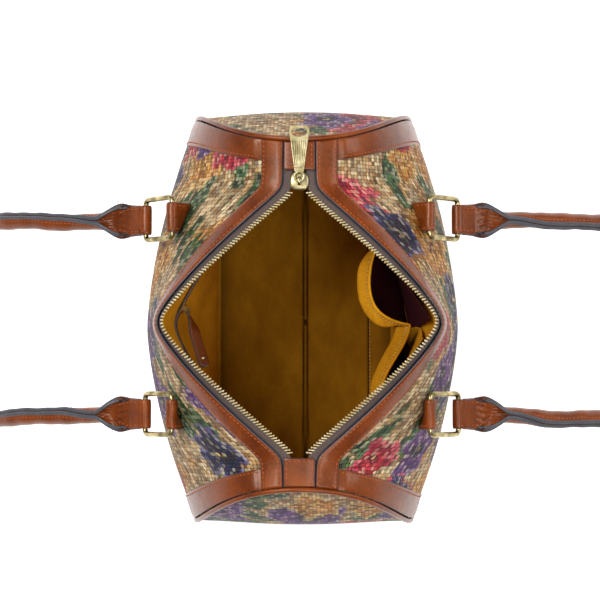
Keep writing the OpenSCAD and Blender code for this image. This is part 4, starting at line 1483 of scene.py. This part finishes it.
@dataclass
class Handle:
    """One rolled handle: flat ends round the bars, gathered into a tube with a raised seam."""

    kit: Kit
    side: Side
    length: float = 229.0
    spread: float = 80.0
    tube_r: float = 6.5
    leaf_half_t: float = 1.6
    seam_half: float = 3.3
    fin: float = 2.0
    bow: float = 8.0
    slope: float = math.radians(34.0235)
    lean: float = math.radians(38)
    thread_lean: float = math.radians(42)
    loop_r: float = 3.5
    unevenness: float = 0.07
    faces: tuple[int, int, int, int] = (40, 7, 21, 7)

    def place(self, u: Number, v: Number, w: Number) -> Array:
        """Points along X, away from the bar and off the handle's plane, turned about the outer bar by the slope."""
        bar_y = SHAPE.hinge_y + SHAPE.ring_l * math.cos(SHAPE.ring_drop)
        bar_z = SHAPE.hinge_z - SHAPE.ring_l * math.sin(SHAPE.ring_drop)
        c, s = math.cos(self.slope), math.sin(self.slope)
        return stacked(u, bar_y + v * c + w * s, bar_z - v * s + w * c)

    def path(self) -> tuple[Array, Array, Array]:
        """Middle line: out along one side, round a half circle and back along the other.

        Returns:
            u, v and turn g, each of shape (m,).
        """
        straight = self.length - self.spread
        v = np.concatenate([np.linspace(5, 11, 6), np.linspace(11.5, 50, 78), np.linspace(52, straight - 1, 56)])
        side = mix(SHAPE.ring_x, self.spread, ease(v / straight))
        g = np.linspace(0, math.pi, 90)
        return (np.concatenate([-side, -self.spread * np.cos(g), side[::-1]]),
                np.concatenate([v, straight + self.spread * np.sin(g), v[::-1]]),
                np.concatenate([np.zeros_like(v), g, np.full_like(v, math.pi)]))

    def rise(self, v: Array) -> Array:
        """Upward bow of the middle line: a half sine over the handle's length."""
        return self.bow * np.sin(math.pi * np.clip(v / self.length, 0, 1))

    def lumps(self, u: Array, v: Array) -> Array:
        """Size of the tube against an even one: two slow waves along it."""
        return 1 + self.unevenness * (0.5 * np.sin(v * 0.13 + 2.2 * np.sign(u)) + 0.35 * np.sin(v * 0.31 + u * 0.03))

    def twist(self, v: Array, g: Array) -> Array:
        """Lean of the seam from straight up, to +X on the back handle and -X on the front one, eased in by v."""
        return -self.side.value * self.lean * np.cos(g) * ease((v - 40) / 40)

    def about(self, u: Array, v: Array, g: Array, across: Array, up: Array) -> Array:
        """Points beside the middle line, which sways in two slow waves that fade out towards the rings.

        Args:
            u: Middle line along X.
            v: Middle line away from the bar.
            g: Its turn.
            across: Distance across it.
            up: Distance off the handle's plane.

        Returns:
            Points.
        """
        free = ease((v - 36) / 50) * ease((self.length - v) / 40)
        sway = free * (1.1 * np.sin(v / 24 + 0.7 * np.sign(u) + self.side.value) + 0.25 * np.sin(v / 9 + u / 40))
        lift = self.rise(v) + 0.5 * free * np.sin(v / 15)
        return self.place(u - (sway + across) * np.cos(g), v + (sway + across) * np.sin(g), lift + up)

    def outlines(self) -> tuple[Array, Array]:
        """Matching outlines of the flat end and of the tube: outer face, left edge, upper face, right edge.

        Returns:
            Flat and tube outlines of shape (k, 2).
        """
        half_w, half_t, r = SHAPE.tab_w / 2, self.leaf_half_t, self.tube_r
        lean = math.asin(self.seam_half / r)
        outer, edge, upper, _ = self.faces
        a = np.linspace(lean, 2 * math.pi - lean, outer)
        bulge = np.linspace(-math.pi / 2, math.pi / 2, edge + 2)[1:-1]
        c = np.linspace(-1, 1, upper)
        left = np.stack([-half_w - 0.5 * np.cos(bulge), half_t * np.sin(bulge)], -1)
        flat = np.concatenate([stacked(np.linspace(half_w, -half_w, outer), -half_t), left,
                               stacked(half_w * c, half_t), -left])
        rib = np.linspace(math.pi, 0, edge + 2)[1:-1]
        ridge = np.stack([1.9 + 1.65 * np.cos(rib), r * math.cos(lean) + 0.4 + self.fin * np.sin(rib) ** 0.5], -1)
        groove = np.stack([0.28 * c, r + 0.8 - 1.5 * (1 - c ** 2)], -1)
        outside = r * np.stack([np.sin(a), np.cos(a)], -1)
        tube = np.concatenate([outside, ridge[::-1] * np.array([-1, 1]), groove, ridge])
        return flat, tube

    def tube(self) -> Surface:
        """Handle: the flat outline eased into the tube's, folded in a valley and wrinkled where it gathers, with
        painted shade in the valley and in the wrinkles.

        Returns:
            Surface.
        """
        u, v, g = (w[:, None] for w in self.path())
        flat, tube = self.outlines()
        outer, edge, top, _ = self.faces
        face = np.repeat(np.arange(4), self.faces)
        paint, upper = (face % 2 == 1) * 1.0, (face == 2) * 1.0
        order = np.concatenate([np.zeros(outer), np.linspace(-1, 1, edge), np.zeros(top), np.linspace(1, -1, edge)])
        roll = ease((v - 21) / 22)
        gather = 4 * roll * (1 - roll)
        turned = ease((v - 11) / 8) * (1 - roll)
        near = ease((v - 13) / 8) * (1 - ease((v - 42) / 6))
        sides = np.sign(flat[:, 0]) * paint
        share = flat[:, 0] / (SHAPE.tab_w / 2)
        x, z = (mix(flat[:, c], tube[:, c], roll) for c in (0, 1))
        x = x - sides * turned * 1.9 * (order + 1) + sides * gather * 1.2
        x = x * (1 + 0.22 * np.exp(-((v - 23) / 9) ** 2))
        fan = share * (1 + 0.9 * roll)
        fold = np.sin(fan * 17 + 0.9 * np.sin(v * 0.5)) * (0.65 + 0.35 * np.sin(0.8 * v + 7 * share))
        fold = fold + 0.55 * np.sin(fan * 31 - 0.5 * v)
        z = z + paint * turned * (1.7 - 0.7 * order) + paint * gather * 0.6
        z = z - upper * gather * 3.0 * (1 - share ** 2) + 0.6 * fold * near * upper * (1 - 0.5 * roll)
        size = mix(1, self.lumps(u, v), roll)
        x, z, turn = x * size, z * size, self.twist(v, g)
        across, up = x * np.cos(turn) + z * np.sin(turn), z * np.cos(turn) - x * np.sin(turn)
        # Painted shade: the groove between the seam's ridges and the pleats of the gathered end are darkened through
        # the crease value.
        dark = np.clip(upper * (roll ** 3 + np.clip(-0.7 * fold, 0, 1) * near * (1 - roll)), 0, 1)
        return sweep(self.about(u, v, g, across, up), values={"edge": paint, "crease": dark})

    def loops(self) -> Surface:
        """Flat ends: a strap that runs over the bar and back under itself, one at each side.

        Returns:
            Surface.
        """
        a = np.linspace(math.radians(65), math.radians(295), 36)
        line = np.concatenate([np.stack([np.linspace(14, 3.5, 10), np.linspace(0.7, 3.0, 10)], -1),
                               self.loop_r * np.stack([np.cos(a), np.sin(a)], -1),
                               np.stack([np.linspace(3.5, 16, 10), np.linspace(-3.0, -0.7, 10)], -1)])
        wide, vw, paint = strap(resampled(line, 90), SHAPE.tab_w / 2, SHAPE.strap_t)
        v, w = vw[..., 0], vw[..., 1]
        return Surface.joined([sweep(self.place(x + wide, v, w + self.rise(v)), values={"edge": paint})
                               for x in (-SHAPE.ring_x, SHAPE.ring_x)])

    def seams(self) -> list[Surface]:
        """Stitches beside both edges of the flat ends and beside the raised seam of the tube.

        Returns:
            Rows.
        """
        u, v, g = self.path()
        rows = []
        for sign in (-1, 1):
            lean = sign * self.thread_lean + self.twist(v, g)
            r = (self.tube_r + 0.1) * self.lumps(u, v)
            x, z = r * np.sin(lean), r * np.cos(lean)
            line = self.about(u, v, g, x, z)
            out = self.about(u, v, g, 2 * x, 2 * z) - line
            rolled = v > 45
            rows.append(stitches(line[rolled], unit(out[rolled]), 3.8))
            vs = np.linspace(-2, 24, 34)
            top = np.where(vs > 4, mix(3.3, 2.5, ease((vs - 4) / 16)), 4.6 - 0.05 * (vs - 2) ** 2)
            for end in End:
                us = end.value * SHAPE.ring_x + sign * mix(8.7, 6.6, ease((vs - 14) / 10))
                rows.append(stitches(self.place(us, vs, top + self.rise(vs)),
                                     self.place(0, 0, 1.0) - self.place(0, 0, 0.0)))
        return rows

    def build(self) -> None:
        """Adds the handle and its stitching to its body."""
        body = f"{self.side.label}_handle"
        leather = Surface.joined([self.tube(), self.loops()])
        self.kit.leather(f"{body}_leather", self.side.turn(leather), body, body)
        self.kit.thread(f"{body}_stitching", [self.side.turn(row) for row in self.seams()], body)


@dataclass(frozen=True)
class SlipPocket:
    """Place and shape of one slip pocket on the front wall, and whether its back is dark."""

    label: str
    start: float
    width: float
    peak: float
    reach: float
    join: float
    slant: float
    dark: float
    stand: float = 8.0
    hem: float = 9.5
    low: float = 0.28
    high: float = 0.66

    def level(self, v: Array) -> Array:
        """Share of the wall's height at the share v of the pocket's height."""
        return mix(self.low, self.high, v)

    def edge(self, u: Array) -> Array:
        """Distance of the top edge from the wall at the share u: a bulge and a stand-off where the pockets meet.

        The bulge is one less the square of the share left to the peak, times the reach. Both are added as the
        sides of a right-angled triangle.

        Args:
            u: Share of its width.

        Returns:
            Distances.
        """
        side = np.clip(np.where(u < self.peak, u / self.peak, (1 - u) / (1 - self.peak)), 0, 1)
        return np.hypot(self.reach * (1 - (1 - side) ** 2), self.stand * (1 - ease(np.abs(u - self.join) / 0.6)))

    def held(self, u: Array) -> Array:
        """Share that is free of the wall: one, less a high power towards the end that is sewn to the wall."""
        return 1 - np.clip((2 * u - 1) * (1 - 2 * self.join), 0, 1) ** 14

    def gape(self, u: Array, v: Array) -> Array:
        """Distance from the wall: a hem of even width leans out below the edge, and the panel returns to its foot.

        The hem's lower line is the farthest of all points at the hem's width from the top edge.

        Args:
            u: Share of its width.
            v: Share of its height.

        Returns:
            Distances.
        """
        turn = np.linspace(-1, 1, 25).reshape((-1,) + (1,) * np.ndim(u))
        line = (self.edge(u + turn * self.hem / self.width) + self.hem * np.sqrt(1 - turn ** 2)).max(0)
        return self.held(u) * ease(v / 0.8) * (3 * v ** 2 + mix(line, self.edge(u), ease((v - 0.86) / 0.14)))


@dataclass
class Interior:
    """Suede lining, its slip pockets and the zip pocket on the back wall."""

    kit: Kit
    half_l: float = 146.0
    half_w: float = 74.0
    floor: float = 4.55
    belly: float = 5.0
    limit: float = 123.75
    clear: float = 1.9
    top_inset: float = 11.5
    top_lift: float = -2.35
    lining_t: float = 1.0
    fold: float = 3.2
    # Share of painted shade over the lining's floor.
    floor_dark: float = 0.6
    sewn_y: float = -52.6
    floor_seam_y: float = -54.3
    floor_seam_x: tuple[float, float] = (-74.0, 6.0)
    suede_t: float = 1.0
    zip_level: float = 0.74
    zip_x: tuple[float, float] = (-66.5, 53.5)
    zip_half_w: float = 3.5
    wall_h: float = 199.0
    pin_x: float = 8.0
    pin_depth: float = 7.35
    pull_l: float = 46.0
    pull_t: float = 2.4
    pull_tilt: float = math.radians(46)
    rivet_at: float = 39.0
    rivet_r: float = 1.8
    slips: tuple[SlipPocket, ...] = (SlipPocket("right", -6.5, 64.5, 0.46, 27.0, 0.0, 3.0, 1.0),
                                     SlipPocket("left", -70.0, 63.5, 0.4, 9.0, 1.0, -14.0, 0.0))

    def wall(self, x: Number, level: Number) -> Array:
        """Back wall: straight from the floor's edge to under the tape, plus a belly of four level (1 - level).

        Args:
            x: Places along the rim.
            level: 0 at the floor to 1 at the tape.

        Returns:
            Points.
        """
        x, level = together(x, level)
        top = SHAPE.layer(x, SHAPE.from_rim(x, self.top_inset), np.full(x.shape, self.top_lift))
        foot = stacked(x / self.limit * self.half_l, self.half_w, self.floor)
        out = foot + (top - foot) * level[..., None]
        out[..., 1] += self.belly * 4 * level * (1 - level)
        return out

    def inside(self, x: Array, level: Array, depth: Array) -> Array:
        """Back wall at x and level, moved into the bag along its normal by the distance depth."""
        normal = unit(np.cross(self.wall(x + 1, level) - self.wall(x - 1, level),
                               self.wall(x, level + 0.02) - self.wall(x, level - 0.02)))
        return self.wall(x, level) + np.asarray(depth, float)[..., None] * normal

    def ring(self, level: float, inset: float, x: Array, fold: float) -> Array:
        """Closed ring of the lining at one level: back wall, right end, front wall and left end.

        Args:
            level: Share of the wall's height.
            inset: Distance inwards.
            x: Places along the rim.
            fold: Depth of the soft folds, each the product of two raised sines.

        Returns:
            Points of shape (k, 3).
        """
        q = self.wall(x, level)
        soft = fold * 4 * level * (1 - level)
        folds = lambda a, b: soft * (0.5 + 0.5 * np.sin(a)) * (0.5 + 0.5 * np.sin(b))
        on_back = folds(x / 11 + 3 * level, x / 23 - 5 * level + 1)
        on_front = folds(x / 13 - 2 * level + 2, x / 31 + 4 * level)
        along, high = q[:, 0] * (1 - inset / self.half_l), q[:, 2] + inset * (1 - level)
        back = np.stack([along, q[:, 1] - inset - on_back, high], -1)
        front = np.stack([along, inset + on_front - q[:, 1], high], -1)
        across = np.linspace(1, -1, 62)[1:-1]
        dip = soft * (1 - across ** 2) * 0.7
        right = stacked(back[-1, 0] - dip, across * back[-1, 1], back[-1, 2])
        left = stacked(back[0, 0] + dip, -across * back[0, 1], back[0, 2])
        return np.concatenate([back, right, front[::-1], left])

    def lining(self) -> Surface:
        """Lining: rings up the outside and down the inside, then drawn in over the floor.

        It is darker along the end seams and beside the sewn row, and painted shade darkens it at the foot of the walls
        and over the floor.

        Returns:
            Surface.
        """
        x = SHAPE.stations(self.limit, 120)
        levels = np.concatenate([np.linspace(0, 0.12, 8), np.linspace(0.16, 1, 44)])[::-1]
        shares = np.linspace(0.97, 0.02, 40)
        drawn = lambda ring, s: ring * np.array([s, s, 1])
        outer = [self.ring(level, 0, x, 0) for level in (0, 0.25, 0.5, 0.75, 1)]
        outer = [drawn(outer[0], s) for s in (0.02, 0.5)] + outer
        inner = [self.ring(level, self.lining_t, x, self.fold) for level in levels]
        rings = np.stack(outer + inner + [drawn(inner[-1], s) for s in shares])
        walls = np.ones(len(outer) + len(inner))
        level = np.concatenate([np.zeros(len(outer)), levels, 0 * shares])[:, None]
        fade = np.concatenate([walls, shares ** 8])[:, None]
        on_floor = np.concatenate([0 * walls, np.ones(len(shares))])[:, None]
        bell = lambda distance, width: np.exp(-(distance / width) ** 2)
        seam = 0.9 * bell(np.abs(rings[..., 1]) - 1.6, 0.7) * (level < 0.9)
        # Painted shade at the foot of the walls, where they meet the floor.
        low = 0.35 * bell(level, 0.05) * fade
        sewn = 0.5 * bell(rings[..., 1] - self.sewn_y, 0.8) * (level < 0.02)
        # Painted shade over the whole floor is added to the crease value here.
        return sweep(rings, values={"crease": np.clip(seam + low + sewn + self.floor_dark * on_floor, 0, 1)})

    def pocket(self, slip: SlipPocket) -> Surface:
        """Slip pocket: a panel that bulges off the wall below its rolled top edge, over a back.

        Args:
            slip: Its place and shape.

        Returns:
            Surface.
        """
        u, v = np.linspace(0, 1, 64)[None], 1 - np.linspace(0, 1, 52)[:, None] ** 1.6
        x, level, tall = together(slip.start + slip.width * u, slip.level(v), mix(slip.low, 0.94, v))
        depth = self.clear + slip.gape(u, v) + 0.8 * np.sin(u * 19 + 4 * v) * v * (1 - v)
        near, face = self.inside(x, level, depth), self.inside(x, level, depth + self.suede_t)
        panel = shell(face, near)
        panel.values = {"maroon": np.repeat([0.0, 1.0], x.size), "crease": np.full(len(panel.verts), 0.2)}
        slant = x + slip.slant * (1 - np.abs(u - slip.join)) * ease((tall - 0.55) / 0.35)
        deep = 1.75 + 3.2 * ease((tall - slip.low) / 0.1) * slip.held(u)
        behind = shell(self.inside(slant, tall, deep), self.inside(slant, tall, deep - 0.5))
        behind.values["maroon"] = np.full(len(behind.verts), slip.dark)
        edge = mix(near[0], face[0], 0.5)
        return Surface.joined([panel, behind, cord(edge, unit(np.gradient(edge, axis=0)), UP, 1.1, 12, -1.3)])

    def pocket_seam(self, slip: SlipPocket) -> Surface:
        """Blanket stitches across the top edge of a slip pocket.

        Args:
            slip: The pocket's place and shape.

        Returns:
            Surface.
        """
        u = np.linspace(0.03, 0.97, int(slip.width / 2.2))
        at = lambda v, more: self.inside(slip.start + slip.width * u, np.full_like(u, slip.level(v)),
                                         self.clear + 1.1 + more + slip.gape(u, np.full_like(u, v)))
        low, high = at(0.952, 0.0), at(0.978, 0.0)
        up = unit(high - low)
        out = unit(np.cross(np.gradient(low, axis=0), up))
        out = out * np.sign((out * (at(0.96, 1.0) - at(0.96, 0.0))).sum(-1, keepdims=True))
        return copies(STITCH, mix(low, high, 0.5) + 0.3 * out, np.stack([up, np.cross(out, up), out], 1))

    def floor_seam(self) -> Surface:
        """Straight row of stitches on the floor below the slip pockets."""
        line = stacked(np.linspace(*self.floor_seam_x, 60), self.floor_seam_y, self.floor + 1.15)
        return stitches(line, UP, 2.9)

    def inner_zip(self) -> Surface:
        """Zip of the back pocket: a thin band along the wall at a share of its height, raised along its middle.

        Returns:
            Surface.
        """
        x, d = together(np.linspace(*self.zip_x, 90), np.linspace(1, -1, 9)[:, None])
        level = self.zip_level + d * self.zip_half_w / self.wall_h
        middle = (np.abs(d) < 0.3) * 1.0
        upper, lower = (self.inside(x, level, depth + 0.35 * middle) for depth in (self.clear + 1.2, self.clear))
        return shell(upper, lower, stacked(x, d * self.zip_half_w), {"edge": middle})

    def pull(self) -> tuple[Surface, Surface]:
        """Leather pull of the back pocket: a narrow neck on the pin that widens to a tilted strap, and its rivet.

        Returns:
            Leather and rivet.
        """
        point = lambda x, depth: self.inside(np.array([x]), np.array([self.zip_level]), np.array([depth]))[0]
        pin = point(self.pin_x, self.pin_depth)
        along = unit(point(self.pin_x - 2, 0.0) - point(self.pin_x + 2, 0.0))
        normal = unit(point(self.pin_x, 1.0) - point(self.pin_x, 0.0))
        across = unit(np.cross(normal, along))
        aim = point(self.pin_x - self.pull_l, self.pin_depth + self.pull_t) - pin
        forward = unit(aim - (aim @ across) * across)
        frame = np.stack([forward, across, np.cross(forward, across)])
        s = np.concatenate([np.linspace(-2.2, 7, 20), np.linspace(7.5, self.pull_l, 60)])
        half = mix(3.1, 5.0, ease((s - 5) / 3)) * np.sqrt(np.clip(1 - np.clip((s - 43) / 3.2, 0, 1) ** 2, 0.05, 1))
        wide, flat, paint = strap(np.stack([s, 0.25 * np.sin(s / 6) + 1.6 * ease(s / 25)], -1), half, self.pull_t)
        tilted = lambda side, out, a: (side * np.cos(a) - out * np.sin(a), side * np.sin(a) + out * np.cos(a))
        tilt = (self.pull_tilt * ease((s - 4) / 16))[:, None]
        tip = np.maximum(paint, ease((s - 44.5) / 1.2)[:, None])
        strip = stacked(flat[..., 0], *tilted(wide, flat[..., 1], tilt))
        g, rise = circle(20), np.linspace(0, math.pi / 2, 7)[:, None]
        radius, top = self.rivet_r * np.cos(rise), 2.7 + 0.9 * np.sin(rise)
        dome = stacked(self.rivet_at + radius * np.cos(g), *tilted(radius * np.sin(g), top, self.pull_tilt))
        return sweep(pin + strip @ frame, values={"edge": tip}), sweep(pin + dome @ frame)

    def build(self) -> None:
        """Adds the lining, pockets, inner zip and its pull."""
        add = self.kit.add
        add("lining_suede", self.lining(), "suede", "suede", nodes=("lining",))
        thread = []
        for slip in self.slips:
            add(f"{slip.label}_pocket_suede", self.pocket(slip).mirrored(1), "suede", "suede",
                nodes=(f"{slip.label}_slip_pocket",))
            thread.append(self.pocket_seam(slip).mirrored(1))
        add("pocket_stitching", Surface.joined(thread + [self.floor_seam()]), "suede_thread", "suede")
        add("inner_zip_cloth", self.inner_zip(), "tape", "zip_tape", nodes=("inner_pocket_zip",))
        leather, rivet = self.pull()
        add("inner_pull_leather", leather, "dark_leather", "dark_leather", "inner_pull", ("inner_pocket_pull",))
        add("inner_pull_rivet", rivet, "brass", "antique_brass", "inner_pull")


@dataclass
class Studio:
    """Camera, lights and the pale floor."""

    eye: tuple[float, float, float] = (-0.056, -0.037, 1.55)
    aim: tuple[float, float, float] = (0.010, -0.0005, 0.195)
    lens: float = 110.0
    world: float = 0.2
    floor_half: float = 30000.0
    floor_z: float = -0.2
    floor_glow: float = 0.66

    def camera(self) -> None:
        """Camera above the bag with +X up the picture."""
        data = bpy.data.cameras.new("camera")
        data.lens, data.sensor_width = self.lens, 36.0
        obj = bpy.data.objects.new("camera", data)
        back = (Vector(self.eye) - Vector(self.aim)).normalized()
        up = (Vector((1, 0, 0)) - back * back.x).normalized()
        right = up.cross(back)
        obj.matrix_world = Matrix.Translation(self.eye) @ Matrix((right, up, back)).transposed().to_4x4()
        bpy.context.scene.collection.objects.link(obj)
        bpy.context.scene.camera = obj

    @staticmethod
    def lamp(name: str, place: tuple, aim: tuple, size: float, watts: float) -> None:
        """A square soft light.

        Args:
            name: Its name.
            place: Where it stands.
            aim: What it faces.
            size: Edge length in metres.
            watts: Power.
        """
        data = bpy.data.lights.new(name, "AREA")
        data.size, data.energy = size, watts
        obj = bpy.data.objects.new(name, data)
        obj.location = place
        obj.rotation_euler = (Vector(aim) - Vector(place)).to_track_quat("-Z", "Y").to_euler()
        bpy.context.scene.collection.objects.link(obj)

    def floor(self) -> None:
        """Large square that is white to camera, glossy and transmitted rays, and gives no light to the bag."""
        look = Graph("floor", Base_Color=(0.93, 0.93, 0.93, 1), Roughness=0.9, Specular_IOR_Level=0.1,
                     Emission_Strength=1.0)
        rays = [look.node("LightPath", out=f"Is {kind} Ray") for kind in ("Camera", "Glossy", "Transmission")]
        glow = (self.floor_glow,) * 3 + (1,)
        look.feed(Emission_Color=look.blend(rays[0] + rays[1] + rays[2], (0, 0, 0, 1), glow))
        span = np.array([-self.floor_half, self.floor_half])
        grid = stacked(span[None], span[:, None], self.floor_z)
        Surface(grid.reshape(-1, 3), [quads(2, 2)]).build("floor", look.material)

    def build(self) -> None:
        """Sets the world, the lights and the floor."""
        scene = bpy.context.scene
        scene.view_settings.view_transform = "Standard"
        scene.world = bpy.data.worlds.new("world")
        scene.world.use_nodes = True
        sky = scene.world.node_tree.nodes["Background"].inputs
        sky[0].default_value, sky[1].default_value = (1, 1, 1, 1), self.world
        self.lamp("key", (0.5, 0.75, 1.75), (0, 0, 0.15), 0.8, 23)
        self.lamp("fill", (-0.5, -0.45, 1.85), (0, 0, 0.1), 0.9, 13)
        self.lamp("side", (0.3, -1.2, 0.9), (0, 0, 0.1), 0.6, 5)
        self.floor()


def finishes() -> dict[str, bpy.types.Material]:
    """All finishes by key.

    Returns:
        Materials.
    """
    made = {
        "leather": LeatherFinish("leather", srgb(146, 66, 12), srgb(92, 35, 3)),
        "dark_leather": LeatherFinish("dark_leather", srgb(112, 50, 14), srgb(78, 32, 8), roughness=0.42, coat=0.1),
        "weave": WeaveFinish(),
        "suede": SuedeFinish(),
        "tape": TapeFinish(),
        "brass": BrassFinish("antique_brass", srgb(212, 196, 146), srgb(112, 96, 54), 0.24),
        "zip_brass": BrassFinish("zip_brass", srgb(208, 196, 154), srgb(152, 138, 96), 0.28),
        "teeth_brass": BrassFinish("teeth_brass", srgb(252, 242, 204), srgb(214, 194, 134), 0.3, 0.5),
        "thread": PlainFinish("thread", srgb(190, 98, 50), 0.7),
        "suede_thread": PlainFinish("suede_thread", srgb(226, 178, 92)),
        "board": PlainFinish("fibre_board", srgb(120, 96, 72)),
    }
    return {key: finish.make() for key, finish in made.items()}


def main() -> None:
    """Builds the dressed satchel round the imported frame."""
    logging.basicConfig(level=logging.INFO, format="%(name)s: %(message)s")
    studio = Studio()
    studio.camera()
    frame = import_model()
    kit = Kit(finishes())
    assemblies = [Cloth(kit), Trim(kit), Zip(kit), Hardware(kit), Interior(kit)]
    assemblies += [Handle(kit, side) for side in Side]
    for assembly in assemblies:
        assembly.build()
        LOG.info("%s built", type(assembly).__name__)
    for node, finish in (("base_panel", "leather"), ("base_board", "board"), ("inner_pocket_slider", "brass")):
        data = frame["nodes"][node].data
        data.materials.clear()
        data.materials.append(kit.materials[finish])
    studio.build()
    bpy.context.view_layer.update()


if __name__ == "__main__":
    main()
